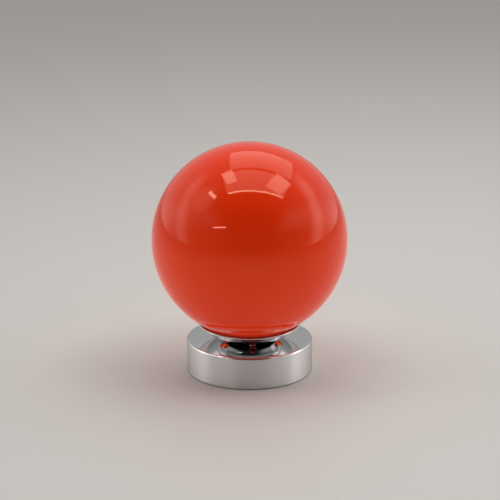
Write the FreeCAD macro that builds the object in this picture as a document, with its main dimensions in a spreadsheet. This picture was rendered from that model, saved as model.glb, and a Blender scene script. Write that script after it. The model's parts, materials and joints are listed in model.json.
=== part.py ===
import FreeCAD, Part
import math
import os
import Sketcher

# A glass globe table lamp: an opal ball seated in a vented dish on a low round drum.
# Millimetres and degrees. Z points up from the table, the drum's axis is the Z axis and the
# cable inlet points along +Y, the back.

SIZES = [
    ("globe_radius", 100.0, "outside of the glass ball"),
    ("globe_wall", 3.0, "glass"),
    ("mouth_radius", 38.0, "opening at the bottom of the ball"),
    ("mouth_round", 1.2, "fire-polished edge of the mouth"),
    ("drum_radius", 65.0, "outside of the drum"),
    ("drum_height", 33.5, "table to the drum's top plate"),
    ("drum_wall", 1.2, "side of the drum"),
    ("drum_plate", 1.5, "top plate of the drum"),
    ("drum_round", 2.0, "rounded top edge of the drum"),
    ("drum_gap", 0.8, "table to the drum's lower edge"),
    ("foot_height", 1.5, "soft ring under the base plate"),
    ("foot_inset", 3.5, "drum's side to the soft ring"),
    ("foot_width", 9.0, "width of the soft ring"),
    ("base_thickness", 2.0, "steel plate that closes the drum"),
    ("base_clearance", 0.3, "base plate to the drum's side"),
    ("ballast_gap", 5.3, "inside of the drum to the iron ring"),
    ("ballast_inner", 26.0, "inner radius of the iron ring"),
    ("ballast_thickness", 12.0, "height of the iron ring"),
    ("post_ring", 45.0, "axis to each post"),
    ("post_radius", 4.0, "posts between top plate and base plate"),
    ("post_count", 3, "posts, each with a screw"),
    ("post_turn", 30.0, "first post, from +X"),
    ("post_clearance", 0.5, "post in its hole through the ballast"),
    ("screw_radius", 2.0, "shank of the base and earth screws"),
    ("screw_head", 4.0, "countersunk head"),
    ("screw_reach", 10.0, "length of the base screws"),
    ("thread_clearance", 0.05, "a screw in its thread"),
    ("hole_clearance", 0.2, "a part in a plain hole"),
    ("cable_bore", 3.4, "bore of the inlet bush"),
    ("cable_wall", 1.4, "sleeve of the inlet bush"),
    ("cable_flange", 6.5, "outer flange of the inlet bush"),
    ("cable_flange_height", 1.5, "thickness of that flange"),
    ("cable_catch", 5.9, "catch ring inside the drum's side"),
    ("cable_reach", 3.4, "bush inwards from the drum's side"),
    ("cable_height", 23.0, "table to the inlet's axis"),
    ("block_width", 26.0, "terminal block, along X"),
    ("block_depth", 17.0, "terminal block, along Y"),
    ("block_height", 12.0, "terminal block, along Z"),
    ("block_inset", 16.0, "outer edge of the iron ring to the middle of the terminal block"),
    ("block_pitch", 8.5, "one way of the terminal block to the next"),
    ("tube_radius", 1.95, "brass tubes of the terminal block"),
    ("tube_bore", 1.4, "bore of the brass tubes"),
    ("tube_length", 15.0, "length of the brass tubes"),
    ("clamp_radius", 1.5, "wire clamping screws"),
    ("clamp_offset", 4.0, "clamping screws from the middle of the block"),
    ("clamp_recess", 0.6, "clamping screws below the top of the block"),
    ("block_screw_radius", 1.5, "screw that holds the terminal block"),
    ("block_screw_head", 2.5, "head of that screw"),
    ("block_screw_reach", 7.0, "that screw in the ballast"),
    ("stud_x", 15.0, "earth stud, to the left of the axis"),
    ("stud_y", 4.0, "earth stud, behind the axis"),
    ("stud_reach", 11.0, "earth stud above the base plate"),
    ("small_flats", 7.0, "across the flats of the earth nuts"),
    ("small_nut", 3.2, "height of an earth nut"),
    ("tag_radius", 4.0, "ring of the earth tag"),
    ("tag_thickness", 0.8, "sheet of the earth tag"),
    ("barrel_radius", 1.8, "crimp barrel of the earth tag"),
    ("barrel_start", 4.5, "stud to the crimp barrel"),
    ("barrel_length", 4.5, "crimp barrel"),
    ("wire_radius", 1.0, "insulated wires"),
    ("wire_spread", 1.7, "each wire from the tube's axis"),
    ("nipple_radius", 5.0, "threaded tube in the middle"),
    ("nipple_bore", 3.5, "wire passage in the threaded tube"),
    ("nipple_tail", 2.8, "threaded tube below the lower nut"),
    ("nipple_entry", 7.8, "threaded tube inside the lampholder"),
    ("nut_flats", 14.0, "across the flats of the large nuts"),
    ("nut_height", 3.5, "height of the large nuts"),
    ("washer_radius", 10.0, "washers of the large nuts"),
    ("washer_thickness", 1.0, "washers of the large nuts"),
    ("bowl_curve", 76.7, "radius of the dish's underside"),
    ("bowl_flat", 28.0, "flat foot of the dish"),
    ("bowl_wall", 1.2, "sheet of the dish"),
    ("rim_ring", 51.4, "axis to the middle of the rolled rim"),
    ("rim_radius", 1.0, "rolled rim"),
    ("vent_count", 6, "vent holes in the dish"),
    ("vent_ring", 33.3, "axis to each vent hole"),
    ("vent_radius", 3.6, "vent hole"),
    ("vent_turn", 36.1, "first vent hole, from +X"),
    ("seat_inner", 44.5, "soft ring under the ball, inside"),
    ("seat_outer", 50.0, "soft ring under the ball, outside"),
    ("seat_height", 2.7, "that ring at its outer edge"),
    ("seat_gap", 0.3, "that ring to the ball and to the dish"),
    ("arm_count", 3, "arms that centre the ball"),
    ("arm_turn", 66.1, "first arm, from +X"),
    ("arm_sweep", 16.0, "angle that one arm covers"),
    ("arm_sheet", 1.0, "spring sheet of the arms"),
    ("arm_hub", 17.0, "radius of the sheet's clamped middle"),
    ("arm_gap", 0.8, "arm tips to the edge of the mouth"),
    ("arm_rise", 9.0, "tips above the lower edge of the ball"),
    ("holder_radius", 20.0, "outside of the lampholder"),
    ("holder_wall", 2.0, "side of the lampholder's cap"),
    ("holder_floor", 2.5, "floor of the lampholder's cap"),
    ("holder_round", 3.0, "lower edge of the lampholder's cap"),
    ("holder_boss", 8.0, "threaded boss in the cap"),
    ("holder_boss_height", 5.4, "threaded boss above the cap's floor"),
    ("cap_depth", 13.9, "cap, from its foot to the core's ledge"),
    ("core_ledge", 1.5, "width of the ledge under the core"),
    ("core_thickness", 6.0, "insulating core"),
    ("core_sink", 4.0, "core below the joint of cap and skirt"),
    ("skirt_length", 28.0, "lampholder's skirt"),
    ("skirt_lip", 2.0, "inward lip at the skirt's mouth"),
    ("screw_shell", 0.6, "threaded metal shell"),
    ("shell_clearance", 0.35, "bulb thread to the metal shell"),
    ("contact_width", 5.0, "centre contact strip"),
    ("contact_sheet", 0.5, "centre contact strip"),
    ("contact_length", 12.0, "centre contact strip"),
    ("contact_lift", 1.4, "free end of the centre contact above the core"),
    ("terminal_width", 6.0, "terminal under the core, along X"),
    ("terminal_depth", 8.0, "terminal under the core, along Y"),
    ("terminal_height", 4.6, "terminal under the core, along Z"),
    ("terminal_offset", 10.0, "axis to the middle of each terminal"),
    ("lock_radius", 1.5, "screw that locks the holder on the tube"),
    ("lock_height", 5.4, "that screw above the cap's foot"),
    ("lock_length", 6.0, "that screw"),
    ("thread_radius", 13.05, "crest of the bulb's thread"),
    ("thread_pitch", 3.62, "bulb's thread"),
    ("thread_depth", 0.76, "bulb's thread, crest to root"),
    ("thread_turns", 4, "turns of the bulb's thread"),
    ("cap_sheet", 0.45, "bulb's cap, behind the thread roots"),
    ("cap_skirt", 6.0, "plain top of the bulb's cap"),
    ("contact_gap", 0.3, "bulb's tip above the centre contact"),
    ("tip_radius", 4.6, "bulb's tip"),
    ("tip_height", 1.4, "bulb's tip"),
    ("insulator_height", 3.6, "glass between the tip and the bulb's cap"),
    ("bulb_radius", 30.0, "round part of the bulb"),
    ("bulb_glass", 0.8, "bulb's glass"),
    ("bulb_reach", 49.0, "top of the bulb's cap to the centre of its round part"),
    ("bulb_slope", 32.0, "cone between neck and round part, from the axis"),
    ("bulb_blend", 14.0, "curve where the neck meets the cone"),
    ("neck_clearance", 0.2, "bulb's neck in its cap"),
    ("neck_sink", 5.5, "bulb's neck inside its cap"),
    ("stem_radius", 4.0, "glass stem in the bulb"),
    ("stem_foot", 11.4, "flared foot of the stem"),
    ("stem_foot_height", 1.2, "flared foot of the stem"),
    ("stem_height", 34.0, "glass stem in the bulb"),
    ("lead_radius", 0.4, "wires that carry the filament"),
    ("lead_spread", 2.0, "those wires where they leave the stem"),
    ("lead_height", 16.0, "those wires above the stem"),
    ("filament_span", 11.0, "half the width of the filament"),
    ("filament_radius", 0.45, "coiled filament, as one thread"),
    ("filament_gap", 0.2, "filament above the ends of its wires"),
    ("filament_sag", 4.0, "drop of the filament's middle"),
]


class Formula:
    """A formula on the sheet's cells, written with ordinary arithmetic."""

    def __init__(self, text):
        self.text = text

    def __add__(self, other):
        return Formula(f"({self.text} + {text_of(other)})")

    def __radd__(self, other):
        return Formula(f"({text_of(other)} + {self.text})")

    def __sub__(self, other):
        return Formula(f"({self.text} - {text_of(other)})")

    def __rsub__(self, other):
        return Formula(f"({text_of(other)} - {self.text})")

    def __mul__(self, other):
        return Formula(f"({self.text} * {text_of(other)})")

    def __rmul__(self, other):
        return Formula(f"({text_of(other)} * {self.text})")

    def __truediv__(self, other):
        return Formula(f"({self.text} / {text_of(other)})")

    def __rtruediv__(self, other):
        return Formula(f"({text_of(other)} / {self.text})")

    def __neg__(self):
        return Formula(f"(0 - {self.text})")


class SheetNames:
    """size.some_name is the formula that reads that cell."""

    def __getattr__(self, name):
        return Formula(f"Sizes.{name}")


def text_of(value):
    return value.text if isinstance(value, Formula) else repr(value)


def apply(function, value):
    return Formula(f"{function}({text_of(value)})")


def root(value):
    return apply("sqrt", value)


def sine(degrees):
    return apply("sin", degrees)


def cosine(degrees):
    return apply("cos", degrees)


def leg(long_side, other_side):
    """The other short side of a right triangle."""
    return root(long_side * long_side - other_side * other_side)


def number(value):
    if isinstance(value, Formula):
        return float(sheet.evalExpression(value.text))
    return float(value)


doc = FreeCAD.newDocument("globe_lamp")
sheet = doc.addObject("Spreadsheet::Sheet", "Sizes")
for row, (alias, value, note) in enumerate(SIZES, start=1):
    sheet.set(f"A{row}", note)
    sheet.set(f"B{row}", str(value))
    sheet.setAlias(f"B{row}", alias)
doc.recompute()

size = SheetNames()
pieces = []

# Levels above the table and radii that more than one piece shares.
plate_top = size.drum_height
foot_outer = size.drum_radius - size.foot_inset
plate_under = plate_top - size.drum_plate
drum_inside = size.drum_radius - size.drum_wall
ballast_outer = drum_inside - size.ballast_gap
base_top = size.foot_height + size.base_thickness
ballast_top = base_top + size.ballast_thickness
nipple_hole = size.nipple_radius + size.hole_clearance
nipple_thread = size.nipple_radius + size.thread_clearance
washer_low = plate_under - size.washer_thickness
lower_nut_low = washer_low - size.nut_height
bowl_centre = plate_top + leg(size.bowl_curve, size.bowl_flat)
bowl_inside = size.bowl_curve - size.bowl_wall
bowl_floor = plate_top + size.bowl_wall
hub_top = bowl_floor + size.arm_sheet
upper_nut_low = hub_top + size.washer_thickness
holder_low = upper_nut_low + size.nut_height
nipple_low = lower_nut_low - size.nipple_tail
nipple_top = holder_low + size.nipple_entry
seat_ball = size.globe_radius + size.seat_gap
seat_under = bowl_inside - size.seat_gap
seat_corner = bowl_centre - leg(seat_under, size.seat_outer)
globe_centre = seat_corner + size.seat_height + leg(seat_ball, size.seat_outer)
globe_low = globe_centre - leg(size.globe_radius, size.mouth_radius)
core_low = holder_low + size.cap_depth
core_top = core_low + size.core_thickness
joint_level = core_low + size.core_sink
holder_top = joint_level + size.skirt_length
shell_bore = size.thread_radius + size.shell_clearance
shell_outside = shell_bore + size.screw_shell
tip_low = core_top + size.contact_lift + size.contact_gap
insulator_low = tip_low + size.tip_height
cap_low = insulator_low + size.insulator_height
thread_mean = size.thread_radius - size.thread_depth / 2
cap_inside = size.thread_radius - size.thread_depth - size.cap_sheet
cap_shoulder = cap_low + size.thread_pitch * size.thread_turns
cap_top = cap_shoulder + size.cap_skirt
cap_bore = size.thread_radius - size.cap_sheet
neck_radius = cap_bore - size.neck_clearance
neck_low = cap_top - size.neck_sink
bulb_centre = cap_top + size.bulb_reach
block_low = ballast_top
block_middle = block_low + size.block_height / 2
block_centre = ballast_outer - size.block_inset
block_front = block_centre - size.block_depth / 2


def keep(piece, label):
    piece.Label = label
    pieces.append(piece)
    return piece


def bind(item, **formulas):
    for name, formula in formulas.items():
        item.setExpression(name, text_of(formula))
    return item


def place(item, x=0, y=0, z=0):
    for axis, formula in (("x", x), ("y", y), ("z", z)):
        if isinstance(formula, Formula):
            item.setExpression(f".Placement.Base.{axis}", formula.text)
        else:
            setattr(item.Placement.Base, axis, formula)
    return item


def spin(item, degrees):
    """Turns a piece about the Z axis."""
    item.Placement = FreeCAD.Placement(FreeCAD.Vector(), FreeCAD.Rotation(FreeCAD.Vector(0, 0, 1), 1))
    item.setExpression(".Placement.Rotation.Angle", text_of(degrees))
    return item


def rod(name, radius, low, high, x=0, y=0):
    """An upright cylinder between two levels."""
    item = doc.addObject("Part::Cylinder", name)
    bind(item, Radius=radius, Height=high - low)
    return place(item, x, y, low)


def rod_along_y(name, radius, start, end, x, z):
    item = doc.addObject("Part::Cylinder", name)
    item.Placement.Rotation = FreeCAD.Rotation(FreeCAD.Vector(1, 0, 0), -90)
    bind(item, Radius=radius, Height=end - start)
    return place(item, x, start, z)


def block(name, width, depth, low, high, x, y):
    """A box between two levels, centred on x and y."""
    item = doc.addObject("Part::Box", name)
    bind(item, Length=width, Width=depth, Height=high - low)
    return place(item, x - width / 2, y - depth / 2, low)


def hexagon(name, flats, low, height, x=0, y=0):
    item = doc.addObject("Part::Prism", name)
    item.Polygon = 6
    bind(item, Circumradius=flats / math.sqrt(3), Height=height)
    return place(item, x, y, low)


def join(name, items):
    item = doc.addObject("Part::MultiFuse", name)
    item.Shapes = items
    return item


def group(name, items):
    """Separate solids in one piece."""
    item = doc.addObject("Part::Compound", name)
    item.Links = items
    return item


def cut(name, base, tools):
    item = doc.addObject("Part::Cut", name)
    item.Base = base
    item.Tool = tools[0] if len(tools) == 1 else join(name + "_tools", tools)
    return item


def around(count, first, ring):
    """The x and y of each place on a ring."""
    step = 360 / count
    spots = []
    for index in range(round(number(count))):
        angle = first + step * index
        spots.append((ring * cosine(angle), ring * sine(angle)))
    return spots


def corner(x, y):
    """The end of a straight run of an outline."""
    return x, y, None, None, 0


def bend(x, y, centre_x, centre_y, turn):
    """The end of an arc of an outline; turn is 1 for anticlockwise and -1 for clockwise."""
    return x, y, centre_x, centre_y, turn


def origin_plane(body, role):
    return [item for item in body.Origin.OriginFeatures if item.Role == role][0]


def empty_sketch(body, name, role):
    sketch = body.newObject("Sketcher::SketchObject", name)
    sketch.AttachmentSupport = (origin_plane(body, role), [""])
    sketch.MapMode = "FlatFace"
    return sketch


def hold(sketch, kind, geometry, point, value):
    """Ties one coordinate of a point to a formula, or to an axis where it is zero."""
    if not isinstance(value, Formula) and value == 0:
        axis = -2 if kind == "DistanceX" else -1
        sketch.addConstraint(Sketcher.Constraint("PointOnObject", geometry, point, axis))
        return
    index = sketch.addConstraint(
        Sketcher.Constraint(kind, -1, 1, geometry, point, number(value)))
    sketch.setExpression(f"Constraints[{index}]", text_of(value))


def add_outline(sketch, outline):
    """Draws a closed outline and ties each of its points to the sheet."""
    points = [FreeCAD.Vector(number(x), number(y), 0) for x, y, _, _, _ in outline]
    ends = []
    for index, (x, y, centre_x, centre_y, turn) in enumerate(outline):
        start, end = points[index - 1], points[index]
        if turn == 0:
            sketch.addGeometry(Part.LineSegment(start, end), False)
            ends.append((1, 2))
            continue
        middle = FreeCAD.Vector(number(centre_x), number(centre_y), 0)
        first, last = (start, end) if turn > 0 else (end, start)
        circle = Part.Circle(middle, FreeCAD.Vector(0, 0, 1), (start - middle).Length)
        angles = [math.atan2(spot.y - middle.y, spot.x - middle.x) for spot in (first, last)]
        sketch.addGeometry(Part.ArcOfCircle(circle, angles[0], angles[1]), False)
        ends.append((1, 2) if turn > 0 else (2, 1))
    for index, (x, y, centre_x, centre_y, turn) in enumerate(outline):
        after = (index + 1) % len(outline)
        sketch.addConstraint(Sketcher.Constraint(
            "Coincident", index, ends[index][1], after, ends[after][0]))
        if turn != 0:
            hold(sketch, "DistanceX", index, 3, centre_x)
            hold(sketch, "DistanceY", index, 3, centre_y)
        steep = abs(points[index].y - number(centre_y)) > abs(points[index].x - number(centre_x)) \
            if turn else True
        if turn == 0 or steep:
            hold(sketch, "DistanceX", index, ends[index][1], x)
        if turn == 0 or not steep:
            hold(sketch, "DistanceY", index, ends[index][1], y)
    return sketch


def turned(name, outline, degrees=360):
    """A body made by turning an outline of radius and height about the Z axis."""
    body = doc.addObject("PartDesign::Body", name)
    sketch = add_outline(empty_sketch(body, name + "_outline", "XZ_Plane"), outline)
    turn_up(body, name + "_turned", sketch, degrees)
    return body


def turn_up(body, name, sketch, degrees=360):
    feature = body.newObject("PartDesign::Revolution", name)
    feature.Profile = sketch
    feature.ReferenceAxis = (sketch, ["V_Axis"])
    if isinstance(degrees, Formula):
        feature.Midplane = True
        bind(feature, Angle=degrees)
    else:
        feature.Angle = degrees
    doc.recompute()
    return feature


def ring_outline(inner, outer, low, high):
    return [corner(inner, low), corner(outer, low), corner(outer, high), corner(inner, high)]


def repeat_around(body, name, feature, sketch, count, axis="N_Axis"):
    pattern = body.newObject("PartDesign::PolarPattern", name)
    pattern.Originals = [feature]
    pattern.Axis = (sketch, [axis])
    pattern.Angle = 360
    bind(pattern, Occurrences=count)
    body.Tip = pattern
    doc.recompute()
    return pattern


def bore_ring(body, name, radius, ring, count):
    """Round holes on a ring, straight up through a body."""
    before = body.Shape.Volume
    sketch = empty_sketch(body, name + "_circle", "XY_Plane")
    centre = FreeCAD.Vector(number(ring), 0, 0)
    sketch.addGeometry(Part.Circle(centre, FreeCAD.Vector(0, 0, 1), number(radius)), False)
    hold(sketch, "DistanceX", 0, 3, ring)
    hold(sketch, "DistanceY", 0, 3, 0)
    index = sketch.addConstraint(Sketcher.Constraint("Radius", 0, number(radius)))
    sketch.setExpression(f"Constraints[{index}]", text_of(radius))
    pocket = body.newObject("PartDesign::Pocket", name)
    pocket.Profile = sketch
    pocket.Type = "ThroughAll"
    pocket.Reversed = True
    doc.recompute()
    repeat_around(body, name + "_ring", pocket, sketch, count)
    if body.Shape.Volume >= before:
        raise RuntimeError(f"{name} cuts nothing")


def round_circles(body, name, circles, fillet):
    """Rounds the circular edges that have these radii and heights."""
    feature = body.Tip
    chosen = []
    for index, edge in enumerate(feature.Shape.Edges, start=1):
        if edge.Degenerated or not isinstance(edge.Curve, Part.Circle):
            continue
        for radius, level in circles:
            near_radius = abs(edge.Curve.Radius - number(radius)) < 0.001
            near_level = abs(edge.Curve.Center.z - number(level)) < 0.001
            if near_radius and near_level:
                chosen.append(f"Edge{index}")
    rounded = body.newObject("PartDesign::Fillet", name)
    rounded.Base = (feature, chosen)
    bind(rounded, Radius=fillet)
    body.Tip = rounded
    doc.recompute()


def wire_path(points):
    """Straight runs joined by arcs, each as large as its two runs allow."""
    edges = []
    start = points[0]
    for before, here, after in zip(points, points[1:], points[2:]):
        back = (before - here).normalize()
        ahead = (after - here).normalize()
        reach = 0.45 * min((before - here).Length, (after - here).Length)
        half_turn = (math.pi - back.getAngle(ahead)) / 2
        radius = reach / math.tan(half_turn)
        first = here + back * reach
        last = here + ahead * reach
        inward = (back + ahead).normalize()
        centre = here + inward * math.hypot(reach, radius)
        edges.append(Part.LineSegment(start, first).toShape())
        edges.append(Part.Arc(first, centre - inward * radius, last).toShape())
        start = last
        print(f"bend radius {radius:.1f}")
    edges.append(Part.LineSegment(start, points[-1]).toShape())
    return Part.Wire(edges)


def wire(label, radius, route):
    """A round wire along a route of corner points."""
    points = [FreeCAD.Vector(*[number(value) for value in spot]) for spot in route]
    path = wire_path(points)
    direction = (points[1] - points[0]).normalize()
    ring = Part.Wire([Part.Circle(points[0], direction, number(radius)).toShape()])
    shape = path.makePipeShell([ring], True, False)
    expected = math.pi * number(radius) ** 2 * path.Length
    print(f"{label}: length {path.Length:.1f}, volume {shape.Volume / expected:.4f} of section x length")
    item = doc.addObject("Part::Feature", label)
    item.Shape = shape
    return item


def drum_shell():
    inner_round = size.drum_radius - size.drum_round
    shell = turned("drum_body", [
        corner(nipple_hole, plate_top),
        corner(nipple_hole, plate_under),
        corner(drum_inside, plate_under),
        corner(drum_inside, size.drum_gap),
        corner(size.drum_radius, size.drum_gap),
        corner(size.drum_radius, plate_top - size.drum_round),
        bend(inner_round, plate_top, inner_round, plate_top - size.drum_round, 1),
    ])
    hole = rod_along_y("cable_hole", size.cable_bore + size.cable_wall + size.hole_clearance,
                       drum_inside - size.cable_reach, size.drum_radius + size.cable_reach,
                       0, size.cable_height)
    keep(cut("drum_cut", shell, [hole]), "drum_shell")


def foot_ring():
    keep(turned("foot_body", ring_outline(foot_outer - size.foot_width, foot_outer, 0,
                                          size.foot_height)), "foot_ring")


def countersink(name, shank, head, low, top, high, x, y):
    """A cone that narrows from the underside of a plate to its top, with a shank above it."""
    cone = doc.addObject("Part::Cone", name + "_cone")
    bind(cone, Radius1=head, Radius2=shank, Height=top - low)
    place(cone, x, y, low)
    return join(name, [cone, rod(name + "_shank", shank, top, high, x, y)])


def base_plate():
    plate = rod("base_disc", drum_inside - size.base_clearance, size.foot_height, base_top)
    spots = around(size.post_count, size.post_turn, size.post_ring)
    spots.append((-size.stud_x, size.stud_y))
    holes = []
    for index, (x, y) in enumerate(spots):
        holes.append(countersink(f"base_hole_{index}", size.screw_radius + size.hole_clearance,
                                 size.screw_head + size.hole_clearance, size.foot_height,
                                 base_top, base_top + size.screw_reach, x, y))
    keep(cut("base_cut", plate, holes), "base_plate")


def ballast():
    ring = turned("ballast_body", ring_outline(size.ballast_inner, ballast_outer,
                                               base_top, ballast_top))
    holes = []
    for index, (x, y) in enumerate(around(size.post_count, size.post_turn, size.post_ring)):
        holes.append(rod(f"ballast_hole_{index}", size.post_radius + size.post_clearance,
                         size.foot_height, plate_top, x, y))
    holes.append(rod("ballast_thread", size.block_screw_radius + size.thread_clearance,
                     ballast_top - size.block_screw_reach, plate_top,
                     size.block_pitch / 2, block_centre))
    keep(cut("ballast_cut", ring, holes), "ballast")


def posts_and_screws():
    posts = []
    screws = []
    for index, (x, y) in enumerate(around(size.post_count, size.post_turn, size.post_ring)):
        solid = rod(f"post_{index}", size.post_radius, base_top, plate_under, x, y)
        bore = rod(f"post_bore_{index}", size.screw_radius + size.thread_clearance,
                   base_top, base_top + size.screw_reach, x, y)
        posts.append(cut(f"bored_post_{index}", solid, [bore]))
        screws.append(countersink(f"base_screw_{index}", size.screw_radius, size.screw_head,
                                  size.foot_height, base_top,
                                  size.foot_height + size.screw_reach, x, y))
    keep(group("post_group", posts), "base_posts")
    keep(group("screw_group", screws), "base_screws")


def cable_bush():
    sleeve = size.cable_bore + size.cable_wall
    flange_low = size.drum_radius
    catch_low = drum_inside - size.cable_reach
    catch_high = leg(drum_inside, size.cable_catch)
    bush = turned("bush_body", [
        corner(size.cable_bore, catch_low),
        corner(sleeve, catch_low),
        corner(size.cable_catch, catch_high - size.cable_wall),
        corner(size.cable_catch, catch_high),
        corner(sleeve, catch_high),
        corner(sleeve, flange_low),
        corner(size.cable_flange, flange_low),
        corner(size.cable_flange, flange_low + size.cable_flange_height / 2),
        bend(size.cable_flange - size.cable_flange_height / 2,
             flange_low + size.cable_flange_height,
             size.cable_flange - size.cable_flange_height / 2,
             flange_low + size.cable_flange_height / 2, 1),
        corner(size.cable_bore, flange_low + size.cable_flange_height),
    ])
    bush.Placement.Rotation = FreeCAD.Rotation(FreeCAD.Vector(1, 0, 0), -90)
    place(bush, 0, 0, size.cable_height)
    keep(bush, "cable_bush")


def ways():
    """The x of each way of the terminal block."""
    return [-size.block_pitch, 0 * size.block_pitch, size.block_pitch]


def terminal_block():
    body = block("block_body", size.block_width, size.block_depth, block_low,
                 block_low + size.block_height, 0 * size.block_pitch, block_centre)
    block_top = block_low + size.block_height
    back = block_centre + size.block_depth / 2
    holes = []
    tubes = []
    clamps = []
    for way, x in enumerate(ways()):
        holes.append(rod_along_y(f"way_{way}", size.tube_radius + size.thread_clearance,
                                 block_front, back, x, block_middle))
        tube_start = block_centre - size.tube_length / 2
        tube_end = block_centre + size.tube_length / 2
        tube = rod_along_y(f"tube_{way}", size.tube_radius, tube_start, tube_end, x, block_middle)
        bore = rod_along_y(f"tube_bore_{way}", size.tube_bore, tube_start, tube_end, x, block_middle)
        tubes.append(cut(f"bored_tube_{way}", tube, [bore]))
        for side in (-1, 1):
            y = block_centre + side * size.clamp_offset
            holes.append(rod(f"clamp_hole_{way}_{side + 1}", size.clamp_radius + size.thread_clearance,
                             block_middle, block_top, x, y))
            clamps.append(rod(f"clamp_{way}_{side + 1}", size.clamp_radius,
                              block_middle + size.tube_radius, block_top - size.clamp_recess, x, y))
    x = size.block_pitch / 2
    head_low = block_middle + size.tube_radius + size.clamp_recess
    holes.append(rod("block_screw_hole", size.block_screw_radius + size.hole_clearance,
                     block_low, block_top, x, block_centre))
    holes.append(rod("block_screw_recess", size.block_screw_head + size.hole_clearance,
                     head_low, block_top, x, block_centre))
    shank = rod("block_screw_shank", size.block_screw_radius, block_low - size.block_screw_reach,
                head_low, x, block_centre)
    head = rod("block_screw_top", size.block_screw_head, head_low, block_top - size.clamp_recess,
               x, block_centre)
    keep(cut("block_cut", body, holes), "terminal_block")
    keep(group("tube_group", tubes), "terminal_tubes")
    keep(group("clamp_group", clamps), "terminal_screws")
    keep(join("block_screw_body", [shank, head]), "block_screw")


def earth_point():
    x = -size.stud_x
    y = size.stud_y
    tag_low = base_top + size.small_nut
    tag_top = tag_low + size.tag_thickness
    stud = countersink("stud_body", size.screw_radius, size.screw_head, size.foot_height,
                       base_top, base_top + size.stud_reach, x, y)
    nuts = []
    for index, low in enumerate((base_top, tag_top)):
        blank = hexagon(f"small_nut_{index}", size.small_flats, low, size.small_nut, x, y)
        thread = rod(f"small_thread_{index}", size.screw_radius + size.thread_clearance, low,
                     low + size.small_nut, x, y)
        nuts.append(cut(f"threaded_nut_{index}", blank, [thread]))
    ring = rod("tag_ring", size.tag_radius, tag_low, tag_top, x, y)
    tongue = block("tag_tongue", size.barrel_radius, size.barrel_start, tag_low, tag_top, x,
                   y + size.barrel_start - size.barrel_start / 4)
    barrel = rod_along_y("tag_barrel", size.barrel_radius, y + size.barrel_start,
                         y + size.barrel_start + size.barrel_length, x, earth_level())
    hole = rod("tag_hole", size.screw_radius + size.hole_clearance, tag_low, tag_top, x, y)
    bore = rod_along_y("tag_bore", size.wire_radius + size.thread_clearance,
                       y + size.barrel_start, y + size.barrel_start + size.barrel_length,
                       x, earth_level())
    keep(stud, "earth_stud")
    keep(group("nut_group", nuts), "earth_nuts")
    keep(cut("tag_cut", join("tag_body", [ring, tongue, barrel]), [hole, bore]), "earth_tag")


def earth_level():
    """The crimp barrel's axis: its lowest line is the underside of the tag's sheet."""
    return base_top + size.small_nut + size.barrel_radius


def wires():
    entry = block_front + size.block_depth / 5
    low = base_top + 5.5
    rise = block_centre - 15
    turn_in = size.ballast_inner - 6
    start_y = size.stud_y + size.barrel_start + 1
    barrel_end = size.stud_y + size.barrel_start + size.barrel_length
    wire_level = nipple_top + 2.6
    for name, side, way in (("live_wire", -1, ways()[1]), ("neutral_wire", 1, ways()[2])):
        keep(wire(name, size.wire_radius, [
            (side * (size.terminal_offset - size.terminal_width / 2), 0, wire_level),
            (side * size.wire_spread, 0, wire_level),
            (side * size.wire_spread, 0, low),
            (way, turn_in, low + 4),
            (way, rise, block_middle),
            (way, entry, block_middle),
        ]), name)
    keep(wire("earth_wire", size.wire_radius, [
        (-size.stud_x, start_y, earth_level()),
        (-size.stud_x, barrel_end + 4, earth_level()),
        (-size.block_pitch - 1, turn_in + 2, low + 7.5),
        (-size.block_pitch, rise + 1, block_middle),
        (-size.block_pitch, entry, block_middle),
    ]), "earth_wire")


def nipple():
    chamfer = (size.nipple_radius - size.nipple_bore) / 3
    keep(turned("nipple_body", [
        corner(size.nipple_bore, nipple_low),
        corner(size.nipple_radius - chamfer, nipple_low),
        corner(size.nipple_radius, nipple_low + chamfer),
        corner(size.nipple_radius, nipple_top - chamfer),
        corner(size.nipple_radius - chamfer, nipple_top),
        corner(size.nipple_bore, nipple_top),
    ]), "nipple")


def large_nut(label, low):
    blank = hexagon(label + "_blank", size.nut_flats, low, size.nut_height)
    thread = rod(label + "_thread", nipple_thread, low, low + size.nut_height)
    keep(cut(label + "_cut", blank, [thread]), label)


def washer(label, low):
    keep(turned(label + "_body", ring_outline(nipple_hole, size.washer_radius, low,
                                              low + size.washer_thickness)), label)


def gallery_bowl():
    """The dish: a flat foot, a spherical side and a rolled rim, with the vent holes."""
    rim_reach = size.bowl_curve - size.rim_radius
    rim_level = bowl_centre - leg(rim_reach, size.rim_ring)
    outer_end = size.bowl_curve * size.rim_ring / rim_reach
    rim_angle = apply("asin", size.rim_ring / rim_reach)
    overlap = apply("acos", (bowl_inside * bowl_inside + rim_reach * rim_reach
                             - size.rim_radius * size.rim_radius) / (2 * bowl_inside * rim_reach))
    inner_end = bowl_inside * sine(rim_angle - overlap)
    flat_inside = leg(bowl_inside, bowl_centre - bowl_floor)
    dish = turned("dish_body", [
        corner(nipple_hole, bowl_floor),
        corner(nipple_hole, plate_top),
        corner(size.bowl_flat, plate_top),
        bend(outer_end, bowl_centre - leg(size.bowl_curve, outer_end), 0, bowl_centre, 1),
        bend(inner_end, bowl_centre - leg(bowl_inside, inner_end), size.rim_ring, rim_level, 1),
        bend(flat_inside, bowl_floor, 0, bowl_centre, -1),
    ])
    bore_ring(dish, "vents", size.vent_radius, size.vent_ring, size.vent_count)
    keep(spin(dish, size.vent_turn), "gallery_bowl")


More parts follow.
